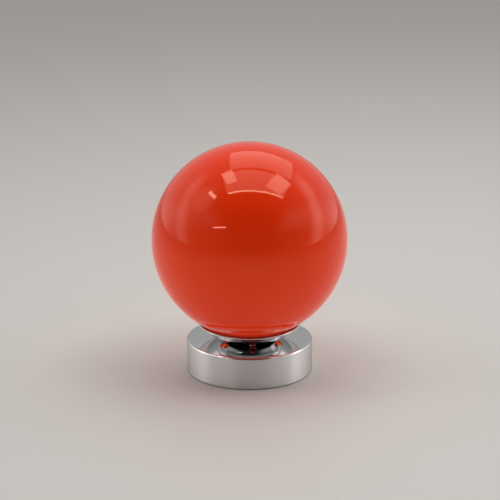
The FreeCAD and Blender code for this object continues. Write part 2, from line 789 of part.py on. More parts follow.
def globe_spider():
    """Three spring arms on one clamped sheet; their tips stand inside the ball's mouth."""
    tip_outside = size.mouth_radius - size.arm_gap
    tip_top = globe_low + size.arm_rise
    knee = globe_low - size.arm_sheet
    body = turned("spider_body", ring_outline(nipple_hole, size.arm_hub, bowl_floor, hub_top))
    arm = add_outline(empty_sketch(body, "arm_outline", "XZ_Plane"), [
        corner(size.arm_hub - size.arm_sheet, bowl_floor),
        corner(size.arm_hub + size.arm_sheet, bowl_floor),
        corner(tip_outside, knee),
        corner(tip_outside, tip_top),
        corner(tip_outside - size.arm_sheet, tip_top),
        corner(tip_outside - size.arm_sheet, knee + size.arm_sheet / 2),
        corner(size.arm_hub + size.arm_sheet / 2, hub_top),
        corner(size.arm_hub - size.arm_sheet, hub_top),
    ])
    feature = turn_up(body, "one_arm", arm, size.arm_sweep)
    repeat_around(body, "arms", feature, arm, size.arm_count, "V_Axis")
    keep(spin(body, size.arm_turn), "globe_spider")


def seat_ring():
    keep(turned("seat_body", [
        corner(size.seat_inner, bowl_centre - leg(seat_under, size.seat_inner)),
        bend(size.seat_outer, seat_corner, 0, bowl_centre, 1),
        corner(size.seat_outer, seat_corner + size.seat_height),
        bend(size.seat_inner, globe_centre - leg(seat_ball, size.seat_inner), 0, globe_centre, -1),
    ]), "seat_ring")


def glass_globe():
    inside = size.globe_radius - size.globe_wall
    lip_top = globe_centre - leg(inside, size.mouth_radius)
    ball = turned("ball_body", [
        corner(size.mouth_radius, globe_low),
        bend(0, globe_centre + size.globe_radius, 0, globe_centre, 1),
        corner(0, globe_centre + inside),
        bend(size.mouth_radius, lip_top, 0, globe_centre, -1),
    ])
    round_circles(ball, "mouth_edges", [(size.mouth_radius, globe_low),
                                        (size.mouth_radius, lip_top)], size.mouth_round)
    keep(ball, "glass_globe")


def holder_cap():
    inside = size.holder_radius - size.holder_wall
    floor_top = holder_low + size.holder_floor
    boss_top = floor_top + size.holder_boss_height
    rounded = size.holder_radius - size.holder_round
    cap = turned("cup_body", [
        corner(nipple_thread, boss_top),
        corner(nipple_thread, holder_low),
        corner(rounded, holder_low),
        bend(size.holder_radius, holder_low + size.holder_round, rounded,
             holder_low + size.holder_round, 1),
        corner(size.holder_radius, joint_level),
        corner(inside, joint_level),
        corner(inside, core_low),
        corner(inside - size.core_ledge, core_low),
        corner(inside - size.core_ledge, floor_top),
        corner(size.holder_boss, floor_top),
        corner(size.holder_boss, boss_top),
    ])
    hole = rod_along_y("lock_hole", size.lock_radius + size.thread_clearance,
                       -size.holder_boss - size.lock_length, 0 * size.holder_boss,
                       0 * size.holder_boss, holder_low + size.lock_height)
    keep(cut("cup_cut", cap, [hole]), "holder_cap")


def lock_screw():
    keep(rod_along_y("lock_body", size.lock_radius, -size.nipple_radius - size.lock_length,
                     -size.nipple_radius - size.thread_clearance, 0 * size.lock_radius,
                     holder_low + size.lock_height), "lock_screw")


def holder_core():
    outside = size.holder_radius - size.holder_wall - size.hole_clearance
    keep(rod("core_body", outside, core_low, core_top), "holder_core")


def holder_terminals():
    blocks = []
    for index, side in enumerate((-1, 1)):
        blocks.append(block(f"terminal_{index}", size.terminal_width, size.terminal_depth,
                            core_low - size.terminal_height, core_low,
                            side * size.terminal_offset, 0 * size.terminal_depth))
    keep(group("terminal_group", blocks), "holder_terminals")


def holder_skirt():
    recess = size.holder_radius - size.holder_wall
    keep(turned("skirt_body", [
        corner(size.holder_radius, joint_level),
        corner(size.holder_radius, holder_top),
        corner(shell_bore + size.hole_clearance, holder_top),
        corner(shell_bore + size.hole_clearance, holder_top - size.skirt_lip),
        corner(shell_outside + size.hole_clearance, holder_top - size.skirt_lip),
        corner(shell_outside + size.hole_clearance, core_top),
        corner(recess, core_top),
        corner(recess, joint_level),
    ]), "holder_skirt")


def holder_thread():
    keep(turned("shell_body", ring_outline(shell_bore, shell_outside, core_top,
                                           holder_top - size.skirt_lip)), "holder_thread")


def holder_contact():
    """A strip riveted on the core, with its free end lifted under the bulb's tip."""
    half = size.contact_length / 2
    foot = block("contact_foot", size.contact_length, size.contact_width, core_top,
                 core_top + size.contact_sheet, 0 * half, 0 * half)
    riser = block("contact_riser", size.contact_sheet, size.contact_width, core_top,
                  core_top + size.contact_lift, half - size.contact_sheet / 2, 0 * half)
    tongue = block("contact_tongue", half * 1.5, size.contact_width,
                   core_top + size.contact_lift - size.contact_sheet,
                   core_top + size.contact_lift, half / 4, 0 * half)
    keep(join("contact_body", [foot, riser, tongue]), "holder_contact")


def bulb_contact():
    keep(turned("tip_body", [
        corner(0, tip_low),
        corner(size.tip_radius / 2, tip_low),
        corner(size.tip_radius, insulator_low),
        corner(0, insulator_low),
    ]), "bulb_contact")


def bulb_insulator():
    keep(turned("insulator_body", [
        corner(0, insulator_low),
        corner(size.tip_radius, insulator_low),
        corner(thread_mean - size.cap_sheet, cap_low),
        corner(0, cap_low),
    ]), "bulb_insulator")


def bulb_cap():
    """The threaded cap; each turn of the thread is a crest and a root."""
    quarter = size.thread_pitch / 4
    swing = size.thread_depth / 2
    bow = (quarter * quarter + swing * swing) / (2 * swing)
    crest_centre = thread_mean + swing - bow
    root_centre = thread_mean - swing + bow
    outline = [corner(cap_inside, cap_low), corner(thread_mean, cap_low)]
    for index in range(round(number(size.thread_turns))):
        level = cap_low + size.thread_pitch * index
        outline.append(bend(thread_mean, level + 2 * quarter, crest_centre, level + quarter, 1))
        outline.append(bend(thread_mean, level + 4 * quarter, root_centre, level + 3 * quarter, -1))
    outline += [
        corner(size.thread_radius, cap_shoulder + swing),
        corner(size.thread_radius, cap_top),
        corner(cap_bore, cap_top),
        corner(cap_bore, cap_shoulder),
        corner(cap_inside, cap_shoulder),
    ]
    keep(turned("thread_body", outline), "bulb_cap")


def bulb_envelope():
    """A thin glass shell: a neck, a cone and a round end, with the neck blended in."""
    inner_ball = size.bulb_radius - size.bulb_glass
    inner_neck = neck_radius - size.bulb_glass
    slope = apply("tan", size.bulb_slope)

    def touch(ball):
        return ball * cosine(size.bulb_slope), bulb_centre - ball * sine(size.bulb_slope)

    outer_r, outer_z = touch(size.bulb_radius)
    inner_r, inner_z = touch(inner_ball)
    outer_crease = outer_z - (outer_r - neck_radius) / slope
    inner_crease = inner_z - (inner_r - inner_neck) / slope
    body = turned("envelope_body", [
        corner(inner_neck, neck_low),
        corner(neck_radius, neck_low),
        corner(neck_radius, outer_crease),
        corner(outer_r, outer_z),
        bend(0, bulb_centre + size.bulb_radius, 0, bulb_centre, 1),
        corner(0, bulb_centre + inner_ball),
        bend(inner_r, inner_z, 0, bulb_centre, -1),
        corner(inner_neck, inner_crease),
    ])
    round_circles(body, "outer_blend", [(neck_radius, outer_crease)], size.bulb_blend)
    round_circles(body, "inner_blend", [(inner_neck, inner_crease)],
                  size.bulb_blend + size.bulb_glass)
    keep(body, "bulb_envelope")


def bulb_stem():
    rise = neck_low + size.stem_height
    keep(turned("stem_body", [
        corner(0, neck_low),
        corner(size.stem_foot, neck_low),
        corner(size.stem_foot, neck_low + size.stem_foot_height),
        corner(size.stem_radius, neck_low + size.stem_foot_height + size.stem_radius),
        corner(size.stem_radius, rise),
        bend(0, rise + size.stem_radius, 0, rise, 1),
    ]), "bulb_stem")


def bulb_leads():
    start = neck_low + size.stem_height + size.stem_radius
    end = start + size.lead_height
    leads = []
    for index, side in enumerate((-1, 1)):
        leads.append(wire(f"lead_{index}", size.lead_radius, [
            (side * size.lead_spread, 0, start),
            (side * size.lead_spread, 0, start + 2),
            (side * size.filament_span, 0, start + size.filament_span),
            (side * size.filament_span, 0, end),
        ]))
    keep(group("lead_group", leads), "bulb_leads")


def bulb_filament():
    level = neck_low + size.stem_height + size.stem_radius + size.lead_height + size.filament_gap
    keep(wire("filament_body", size.filament_radius, [
        (-size.filament_span, 0, level + size.filament_radius),
        (0 * size.filament_span, 0, level + size.filament_radius - size.filament_sag),
        (size.filament_span, 0, level + size.filament_radius),
    ]), "bulb_filament")


def build():
    drum_shell()
    foot_ring()
    base_plate()
    ballast()
    posts_and_screws()
    cable_bush()
    terminal_block()
    earth_point()
    nipple()
    washer("lower_washer", washer_low)
    large_nut("lower_nut", lower_nut_low)
    gallery_bowl()
    globe_spider()
    washer("upper_washer", hub_top)
    large_nut("upper_nut", upper_nut_low)
    seat_ring()
    glass_globe()
    holder_cap()
    lock_screw()
    holder_core()
    holder_terminals()
    holder_skirt()
    holder_thread()
    holder_contact()
    wires()
    bulb_contact()
    bulb_insulator()
    bulb_cap()
    bulb_envelope()
    bulb_stem()
    bulb_leads()
    bulb_filament()


def check():
    """Stops if any object failed or any piece is empty or not valid."""
    for item in doc.Objects:
        if "Invalid" in item.State or "Error" in item.State:
            raise RuntimeError(f"{item.Name} failed: {item.State}")
    for piece in pieces:
        if piece.Shape.isNull() or not piece.Shape.isValid() or not piece.Shape.Solids:
            raise RuntimeError(f"{piece.Label} has no valid solid")


build()
doc.recompute()
check()
os.makedirs("parts", exist_ok=True)
for piece in pieces:
    piece.Shape.exportStep(f"parts/{piece.Label}.step")
    box = piece.Shape.BoundBox
    print(f"{piece.Label}: {len(piece.Shape.Solids)} solids, {piece.Shape.Volume / 1000:.2f} cm3, "
          f"z {box.ZMin:.2f} to {box.ZMax:.2f}")
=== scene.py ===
import bpy
import bmesh
import json
import math
from mathutils import Matrix, Quaternion, Vector


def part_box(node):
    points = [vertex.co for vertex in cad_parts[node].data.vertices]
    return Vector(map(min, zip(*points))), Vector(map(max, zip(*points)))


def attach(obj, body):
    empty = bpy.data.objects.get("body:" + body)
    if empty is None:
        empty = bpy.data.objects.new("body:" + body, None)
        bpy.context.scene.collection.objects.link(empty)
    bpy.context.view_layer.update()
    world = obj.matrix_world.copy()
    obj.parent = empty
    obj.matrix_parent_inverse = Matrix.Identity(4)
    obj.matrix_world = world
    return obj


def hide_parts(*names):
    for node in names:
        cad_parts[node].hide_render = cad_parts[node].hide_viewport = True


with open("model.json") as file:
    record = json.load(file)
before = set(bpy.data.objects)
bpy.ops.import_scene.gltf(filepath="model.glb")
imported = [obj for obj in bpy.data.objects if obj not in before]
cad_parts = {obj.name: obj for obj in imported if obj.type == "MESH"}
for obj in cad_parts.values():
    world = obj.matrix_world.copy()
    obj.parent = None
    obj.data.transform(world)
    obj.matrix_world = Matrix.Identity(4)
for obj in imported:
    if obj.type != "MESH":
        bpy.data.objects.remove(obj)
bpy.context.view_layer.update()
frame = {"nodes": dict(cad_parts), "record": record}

cadNodes = frame["nodes"]
print("frame loaded:", len(cadNodes), "nodes")


def mm(value):
    return value / 1000


def pick(sizes, *names):
    return [sizes[name] for name in names]


def newGroup(name, values, output):
    # an effect: a vector and named values go in, one mask or height comes out
    group = bpy.data.node_groups.new(name, "ShaderNodeTree")
    group.interface.new_socket("Vector", in_out="INPUT", socket_type="NodeSocketVector")
    for key, value in values.items():
        socket = group.interface.new_socket(key, in_out="INPUT", socket_type="NodeSocketFloat")
        socket.default_value = value
    group.interface.new_socket(output, in_out="OUTPUT", socket_type="NodeSocketFloat")
    return group, group.nodes.new("NodeGroupInput").outputs, group.nodes.new("NodeGroupOutput").inputs[0]


def addNode(tree, kind, settings=None, inputs=None):
    node = tree.nodes.new(kind)
    for key, value in (settings or {}).items():
        setattr(node, key, value)
    for key, value in (inputs or {}).items():
        if isinstance(value, bpy.types.NodeSocket):
            tree.links.new(value, node.inputs[key])
        else:
            node.inputs[key].default_value = value
    return node


def mathNode(tree, operation, first, second=0.0):
    return addNode(tree, "ShaderNodeMath", {"operation": operation}, {0: first, 1: second}).outputs[0]


def addShare(tree, base, mask, share):
    # the base with a share of the mask added to it
    return mathNode(tree, "ADD", base, mathNode(tree, "MULTIPLY", mask, share))


def spread(tree, mask, low, high):
    return addNode(tree, "ShaderNodeMapRange", None, {
        "Value": mask, "To Min": low, "To Max": high}).outputs[0]


def smoothStep(tree, value, start, end):
    return addNode(tree, "ShaderNodeMapRange", {"interpolation_type": "SMOOTHSTEP"}, {
        "Value": value, "From Min": start, "From Max": end}).outputs[0]


def buildPatches():
    # broad soft patches, such as handling marks
    group, source, result = newGroup("softPatches", {"Scale": 30.0, "Contrast": 1.0}, "Mask")
    noise = addNode(group, "ShaderNodeTexNoise", None, {
        "Vector": source["Vector"], "Scale": source["Scale"], "Detail": 5.0, "Roughness": 0.55,
        "Distortion": 0.4})
    centred = mathNode(group, "SUBTRACT", noise.outputs[0], 0.5)
    stretched = mathNode(group, "MULTIPLY", centred, source["Contrast"])
    shifted = addNode(group, "ShaderNodeMath", {"operation": "ADD", "use_clamp": True}, {
        0: stretched, 1: 0.5})
    group.links.new(shifted.outputs[0], result)
    return group


def buildLatheLines():
    # fine rings around the Z axis, as turning or spinning leaves them
    group, source, result = newGroup("latheLines", {"Scale": 2500.0}, "Lines")
    x, y, z = addNode(group, "ShaderNodeSeparateXYZ", None, {0: source["Vector"]}).outputs
    squareX = mathNode(group, "MULTIPLY", x, x)
    squareY = mathNode(group, "MULTIPLY", y, y)
    radius = mathNode(group, "SQRT", mathNode(group, "ADD", squareX, squareY))
    place = addNode(group, "ShaderNodeCombineXYZ", None, {
        0: mathNode(group, "MULTIPLY", radius, source["Scale"]),
        1: mathNode(group, "MULTIPLY", z, source["Scale"])})
    noise = addNode(group, "ShaderNodeTexNoise", {"noise_dimensions": "2D"}, {
        "Vector": place.outputs[0], "Scale": 1.0, "Detail": 2.0, "Roughness": 0.6})
    group.links.new(noise.outputs[0], result)
    return group


def buildScratches():
    # short hairline marks, where two sets of stretched cell edges meet
    group, source, result = newGroup("hairScratches", {"Scale": 60.0, "Amount": 0.04}, "Mask")
    found = []
    for turn, stretch in ((0.6, (1.0, 14.0, 1.0)), (-1.1, (11.0, 1.0, 4.0))):
        bent = addNode(group, "ShaderNodeMapping", None, {
            0: source["Vector"], "Rotation": (turn, turn * 0.7, turn), "Scale": stretch})
        cells = addNode(group, "ShaderNodeTexVoronoi", {"feature": "DISTANCE_TO_EDGE"}, {
            "Vector": bent.outputs[0], "Scale": source["Scale"]})
        found.append(mathNode(group, "LESS_THAN", cells.outputs["Distance"], source["Amount"]))
    group.links.new(mathNode(group, "MULTIPLY", *found), result)
    return group


def buildSpecks():
    # tiny scattered specks: dust, or seeds in glass
    group, source, result = newGroup("fineSpecks", {"Scale": 400.0, "Size": 0.12}, "Mask")
    cells = addNode(group, "ShaderNodeTexVoronoi", {"feature": "F1"}, {
        "Vector": source["Vector"], "Scale": source["Scale"]})
    group.links.new(smoothStep(group, cells.outputs["Distance"], source["Size"], 0.0), result)
    return group


def buildGrain():
    # a close even grain: cast iron, moulded plastic, rubber
    group, source, result = newGroup("closeGrain", {"Scale": 1500.0}, "Height")
    noise = addNode(group, "ShaderNodeTexNoise", None, {
        "Vector": source["Vector"], "Scale": source["Scale"], "Detail": 3.0, "Roughness": 0.65})
    group.links.new(noise.outputs[0], result)
    return group


effects = {"patches": buildPatches(), "lathe": buildLatheLines(), "scratches": buildScratches(),
           "specks": buildSpecks(), "grain": buildGrain()}


def effect(tree, name, vector, values):
    node = tree.nodes.new("ShaderNodeGroup")
    node.node_tree = effects[name]
    tree.links.new(vector, node.inputs["Vector"])
    for key, value in values.items():
        node.inputs[key].default_value = value
    return node.outputs[0]


def mixColour(tree, factor, first, second):
    # 6 and 7 are the Mix node's two colour sockets, and its output 2 is their mixture
    node = addNode(tree, "ShaderNodeMix", {"data_type": "RGBA"}, {0: factor})
    for index, value in ((6, first), (7, second)):
        if isinstance(value, bpy.types.NodeSocket):
            tree.links.new(value, node.inputs[index])
        else:
            node.inputs[index].default_value = (*value, 1.0)
    return node.outputs[2]


def feed(shader, name, source):
    shader.id_data.links.new(source, shader.inputs[name])


def addBump(tree, shader, height, strength, distance):
    bump = addNode(tree, "ShaderNodeBump", None, {
        "Strength": strength, "Distance": distance, "Height": height})
    feed(shader, "Normal", bump.outputs[0])


def startMaterial(name, sockets):
    material = bpy.data.materials.new(name)
    material.use_nodes = True
    tree = material.node_tree
    shader = tree.nodes["Principled BSDF"]
    for key, value in sockets.items():
        shader.inputs[key].default_value = value
    where = tree.nodes.new("ShaderNodeTexCoord").outputs["Object"]
    return material, tree, shader, where


metal = {"Metallic": 1.0}
plastic = {"IOR": 1.46}
dustLook = {"colour": (0.62, 0.6, 0.57), "share": 0.5, "size": 0.14}
plainLook = {"patch": 200.0, "contrast": 1.6, "pattern": "grain", "fine": 2500.0, "bump": 0.1,
             "depth": 0.0001, "sockets": metal}


def twoTone(colour, worn, rough, **others):
    # two colours and a roughness range; the rest is as in plainLook where it isn't given
    return plainLook | {"colour": colour, "worn": worn, "rough": rough} | others


def surface(name, look):
    # one material from its look: two colours, a roughness range, a pattern and a bump
    material, tree, shader, where = startMaterial(name, look["sockets"])
    patches = effect(tree, "patches", where, {"Scale": look["patch"], "Contrast": look["contrast"]})
    pattern = effect(tree, look["pattern"], where, {"Scale": look["fine"]})
    colour = mixColour(tree, patches, look["colour"], look["worn"])
    if "dust" in look:
        specks = effect(tree, "specks", where, {"Scale": look["dust"], "Size": dustLook["size"]})
        thin = mathNode(tree, "MULTIPLY", specks, dustLook["share"])
        colour = mixColour(tree, thin, colour, dustLook["colour"])
    feed(shader, "Base Color", colour)
    feed(shader, "Roughness", spread(tree, patches, *look["rough"]))
    addBump(tree, shader, pattern, look["bump"], look["depth"])
    return material


looks = {
    "red_rubber": twoTone((0.42, 0.045, 0.012), (0.50, 0.07, 0.02), (0.42, 0.6), patch=60.0, fine=1800.0,
        bump=0.25, depth=0.0002, sockets={"IOR": 1.42}),
    "black_rubber": twoTone((0.012, 0.012, 0.012), (0.03, 0.029, 0.028), (0.55, 0.8), patch=70.0,
        fine=2200.0, bump=0.4, depth=0.0002, sockets={}, dust=500.0),
    "base_steel": twoTone((0.50, 0.51, 0.53), (0.60, 0.59, 0.55), (0.25, 0.45), patch=22.0,
        pattern="patches", fine=160.0, bump=0.12, depth=0.0003, dust=300.0),
    "ballast_iron": twoTone((0.05, 0.05, 0.052), (0.09, 0.07, 0.06), (0.5, 0.75), patch=40.0, fine=900.0,
        bump=0.8, depth=0.0005, sockets={"Metallic": 0.6}),
    "post_steel": twoTone((0.58, 0.58, 0.60), (0.52, 0.51, 0.49), (0.2, 0.35), patch=90.0, pattern="lathe",
        fine=5000.0, bump=0.3),
    "screw_steel": twoTone((0.60, 0.60, 0.62), (0.64, 0.60, 0.50), (0.22, 0.4), patch=250.0, bump=0.15),
    "bush_plastic": twoTone((0.015, 0.015, 0.016), (0.04, 0.04, 0.04), (0.4, 0.55), patch=150.0, bump=0.3,
        sockets=plastic),
    "block_plastic": twoTone((0.68, 0.66, 0.60), (0.60, 0.57, 0.50), (0.35, 0.5), patch=120.0, fine=2000.0,
        bump=0.15, sockets=plastic),
    "tube_brass": twoTone((0.72, 0.50, 0.20), (0.52, 0.36, 0.15), (0.22, 0.4)),
    "clamp_steel": twoTone((0.60, 0.60, 0.60), (0.66, 0.62, 0.52), (0.25, 0.4), patch=300.0),
    "stud_brass": twoTone((0.70, 0.49, 0.20), (0.54, 0.38, 0.16), (0.2, 0.38), patch=220.0, fine=2600.0),
    "tag_tin": twoTone((0.62, 0.60, 0.56), (0.50, 0.48, 0.44), (0.3, 0.5), patch=260.0, fine=2200.0,
        bump=0.2),
    "brown_wire": twoTone((0.11, 0.035, 0.012), (0.15, 0.055, 0.02), (0.3, 0.45), fine=1600.0,
        sockets=plastic),
    "blue_wire": twoTone((0.01, 0.07, 0.38), (0.03, 0.11, 0.45), (0.3, 0.45), fine=1600.0, sockets=plastic),
    "tube_steel": twoTone((0.60, 0.58, 0.53), (0.66, 0.60, 0.45), (0.22, 0.38), patch=160.0,
        pattern="lathe", fine=4500.0, bump=0.25),
    "nut_steel": twoTone((0.58, 0.58, 0.59), (0.64, 0.60, 0.50), (0.22, 0.4), patch=160.0, fine=2200.0,
        bump=0.15),
    "spring_steel": twoTone((0.55, 0.55, 0.57), (0.48, 0.47, 0.46), (0.2, 0.36), patch=60.0,
        pattern="scratches", fine=180.0),
    "holder_plastic": twoTone((0.010, 0.010, 0.011), (0.022, 0.021, 0.020), (0.16, 0.3), patch=60.0,
        fine=1200.0, bump=0.06, sockets=plastic, dust=600.0),
    "holder_ceramic": twoTone((0.78, 0.76, 0.70), (0.66, 0.62, 0.54), (0.2, 0.35), patch=90.0, fine=1400.0,
        bump=0.15, sockets={"IOR": 1.5}),
    "holder_brass": twoTone((0.74, 0.53, 0.22), (0.60, 0.41, 0.17), (0.16, 0.34), patch=110.0,
        pattern="lathe", fine=5000.0, bump=0.2),
    "bulb_metal": twoTone((0.74, 0.74, 0.75), (0.66, 0.66, 0.65), (0.2, 0.36), patch=130.0,
        pattern="scratches", fine=260.0, bump=0.15),
    "bulb_black_glass": twoTone((0.012, 0.008, 0.016), (0.03, 0.02, 0.035), (0.05, 0.2), fine=900.0,
        sockets={"IOR": 1.5}),
    "bulb_tin": twoTone((0.60, 0.58, 0.54), (0.48, 0.46, 0.42), (0.25, 0.5), patch=350.0, fine=1500.0,
        bump=0.4, depth=0.0002),
    "lead_metal": twoTone((0.46, 0.40, 0.34), (0.36, 0.30, 0.26), (0.3, 0.45), patch=400.0),
    "filament_metal": twoTone((0.10, 0.10, 0.11), (0.16, 0.15, 0.15), (0.35, 0.5), patch=500.0, fine=3000.0,
        bump=0.2),
}
materials = {name: surface(name, look) for name, look in looks.items()}


stripeLook = {"green": (0.05, 0.26, 0.03), "worn": (0.08, 0.32, 0.05), "yellow": (0.75, 0.62, 0.03),
              "bands": 90.0, "edge": 0.62, "rough": (0.3, 0.45)}


def stripedWire():
    # the earth wire: green with slanting yellow bands
    look = stripeLook
    material, tree, shader, where = startMaterial("green_wire", plastic)
    patches = effect(tree, "patches", where, {"Scale": 160.0, "Contrast": 1.4})
    bands = addNode(tree, "ShaderNodeTexWave", {"bands_direction": "DIAGONAL"}, {
        "Vector": where, "Scale": look["bands"], "Distortion": 1.0, "Detail": 0.0})
    stripe = mathNode(tree, "GREATER_THAN", bands.outputs["Fac"], look["edge"])
    green = mixColour(tree, patches, look["green"], look["worn"])
    feed(shader, "Base Color", mixColour(tree, stripe, green, look["yellow"]))
    feed(shader, "Roughness", spread(tree, patches, *look["rough"]))
    return material


globeCentre = 138.4  # height of the ball's centre, for its material, the ball and the seat ring

# the three glows are painted light: emission colours on the glass, weak on top, stronger below and strongest
# on the inner skin
opalLook = {"colour": (0.66, 0.030, 0.002), "cloud": (0.72, 0.040, 0.003), "seed": (0.75, 0.16, 0.05),
            "tint": (1.0, 0.55, 0.38), "rough": (0.03, 0.07), "cloudScale": 14.0, "seedScale": 260.0,
            "smearScale": 26.0, "waveScale": 9.0, "skinSplit": 98.5, "paintedGlowFadeTop": 50.0, "paintedGlowFadeLow": -20.0,
            "paintedTopGlow": (0.105, 0.0, 0.0), "paintedLowGlow": (0.235, 0.013, 0.003),
            "paintedInsideGlow": (0.27, 0.055, 0.007)}


def opalGlass():
    # blown opal glass: cloudy colour, a few seeds, faint waves and a fire-polished skin;
    # painted glow: its emission, weak above, stronger towards the bottom and strongest on the inner skin,
    # stands in for light soaking through it, so its lower half and its inner skin are never quite dark
    look = opalLook
    material, tree, shader, where = startMaterial("opal_glass", {
        "IOR": 1.52, "Specular Tint": (*look["tint"], 1.0), "Emission Strength": 1.0})
    cloud = effect(tree, "patches", where, {"Scale": look["cloudScale"], "Contrast": 1.5})
    seeds = effect(tree, "specks", where, {"Scale": look["seedScale"], "Size": 0.07})
    body = mixColour(tree, cloud, look["colour"], look["cloud"])
    faint = mathNode(tree, "MULTIPLY", seeds, 0.35)
    feed(shader, "Base Color", mixColour(tree, faint, body, look["seed"]))
    fromCentre = addNode(tree, "ShaderNodeMapping", None, {0: where, "Location": (0, 0, -mm(globeCentre))})
    level = addNode(tree, "ShaderNodeSeparateXYZ", None, {0: fromCentre.outputs[0]}).outputs[2]
    # painted glow: the emission fades from the weak top glow to the stronger low glow towards the bottom,
    # and the inner skin takes the strongest glow
    lower = smoothStep(tree, level, mm(look["paintedGlowFadeTop"]), mm(look["paintedGlowFadeLow"]))
    distance = addNode(tree, "ShaderNodeVectorMath", {"operation": "LENGTH"}, {0: fromCentre.outputs[0]})
    inside = mathNode(tree, "LESS_THAN", distance.outputs["Value"], mm(look["skinSplit"]))
    outside = mixColour(tree, lower, look["paintedTopGlow"], look["paintedLowGlow"])
    feed(shader, "Emission Color", mixColour(tree, inside, outside, look["paintedInsideGlow"]))
    smears = effect(tree, "patches", where, {"Scale": look["smearScale"], "Contrast": 2.2})
    hairs = effect(tree, "scratches", where, {"Scale": 30.0, "Amount": 0.012})
    rough = addShare(tree, spread(tree, smears, *look["rough"]), hairs, 0.1)
    feed(shader, "Roughness", rough)
    waves = addNode(tree, "ShaderNodeTexNoise", None, {
        "Vector": where, "Scale": look["waveScale"], "Detail": 1.0, "Roughness": 0.4})
    addBump(tree, shader, addShare(tree, waves.outputs[0], seeds, 0.02), 0.25, 0.0015)
    return material


drumLook = {"colour": (0.86, 0.86, 0.87), "haze": (0.81, 0.81, 0.82), "speck": (0.45, 0.44, 0.43),
            "edgeTint": (0.60, 0.60, 0.61), "plateRough": (0.03, 0.06), "sideRough": (0.34, 0.39),
            "sideStart": 32.7, "sideEnd": 31.4}


def drumMetal():
    # polished on the top plate and its edge, satin on the side
    look = drumLook
    material, tree, shader, where = startMaterial("polished_drum", {
        "Metallic": 1.0, "Anisotropic": 0.82, "Anisotropic Rotation": 0.25,
        "Specular Tint": (*look["edgeTint"], 1.0)})
    level = addNode(tree, "ShaderNodeSeparateXYZ", None, {0: where}).outputs[2]
    side = smoothStep(tree, level, mm(look["sideStart"]), mm(look["sideEnd"]))
    patches = effect(tree, "patches", where, {"Scale": 18.0, "Contrast": 1.2})
    lines = effect(tree, "lathe", where, {"Scale": 3500.0})
    hairs = effect(tree, "scratches", where, {"Scale": 55.0, "Amount": 0.02})
    specks = effect(tree, "specks", where, {"Scale": 420.0, "Size": 0.1})
    colour = mixColour(tree, patches, look["colour"], look["haze"])
    spotted = mixColour(tree, mathNode(tree, "MULTIPLY", specks, 0.2), colour, look["speck"])
    feed(shader, "Base Color", spotted)
    top = spread(tree, patches, *look["plateRough"])
    satin = addShare(tree, spread(tree, patches, *look["sideRough"]), lines, 0.05)
    mixed = addNode(tree, "ShaderNodeMix", {"data_type": "FLOAT"}, {0: side, 2: top, 3: satin})
    feed(shader, "Roughness", addShare(tree, mixed.outputs[0], hairs, 0.06))
    addBump(tree, shader, mathNode(tree, "MULTIPLY", lines, side), 0.12, 0.0001)
    return material


dishLook = {"colour": (0.70, 0.70, 0.71), "haze": (0.64, 0.63, 0.63), "rough": (0.03, 0.08)}


def dishMetal():
    # the polished dish, with faint spinning rings
    material, tree, shader, where = startMaterial("polished_dish", metal)
    patches = effect(tree, "patches", where, {"Scale": 40.0, "Contrast": 1.8})
    lines = effect(tree, "lathe", where, {"Scale": 1800.0})
    hairs = effect(tree, "scratches", where, {"Scale": 80.0, "Amount": 0.02})
    colour = mixColour(tree, patches, dishLook["colour"], dishLook["haze"])
    feed(shader, "Base Color", colour)
    rough = addShare(tree, spread(tree, patches, *dishLook["rough"]), hairs, 0.1)
    feed(shader, "Roughness", rough)
    addBump(tree, shader, lines, 0.06, 0.0001)
    return material


glassLooks = {"bulb_glass": {"tint": (0.95, 0.94, 0.92), "rough": (0.28, 0.42)},
              "bulb_stem_glass": {"tint": (0.93, 0.96, 0.94), "rough": (0.02, 0.06)}}


def clearGlass(name, look):
    # thin clear or pearl glass
    material, tree, shader, where = startMaterial(name, {"IOR": 1.46, "Transmission Weight": 0.85})
    patches = effect(tree, "patches", where, {"Scale": 60.0, "Contrast": 1.6})
    shade = [channel * 0.95 for channel in look["tint"]]
    feed(shader, "Base Color", mixColour(tree, patches, look["tint"], shade))
    feed(shader, "Roughness", spread(tree, patches, *look["rough"]))
    addBump(tree, shader, effect(tree, "grain", where, {"Scale": 700.0}), 0.05, 0.0001)
    return material


materials["green_wire"] = stripedWire()
materials["opal_glass"] = opalGlass()
materials["polished_drum"] = drumMetal()
materials["polished_dish"] = dishMetal()
for glassName, glassLook in glassLooks.items():
    materials[glassName] = clearGlass(glassName, glassLook)
print("materials made:", len(materials))

# every carried-over node takes the material of its slot
slotOfNode = {entry["node"]: entry["material_slot"] for entry in frame["record"]["subparts"]}
for nodeName, node in cadNodes.items():
    node.data.materials.clear()
    node.data.materials.append(materials[slotOfNode[nodeName]])


def addRun(mesh, start, move):
    # one run of an outline: a straight line to (radius, height), or an arc about
    # (radius, height) by some degrees in some steps, clockwise when the degrees are positive
    if len(move) == 2:
        end = mesh.verts.new((mm(move[0]), 0, mm(move[1])))
        mesh.edges.new((start, end))
        return end
    radius, height, degrees, steps = move
    spun = bmesh.ops.spin(mesh, geom=[start], cent=(mm(radius), 0, mm(height)), axis=(0, 1, 0),
                          angle=math.radians(degrees), steps=steps, use_merge=False)
    return [item for item in spun["geom_last"] if isinstance(item, bmesh.types.BMVert)][0]


def traceProfile(mesh, moves):
    # a closed outline in the XZ plane, from its first point through its runs
    start = mesh.verts.new((mm(moves[0][0]), 0, mm(moves[0][1])))
    here = start
    for move in moves[1:]:
        here = addRun(mesh, here, move)
    mesh.edges.new((here, start))


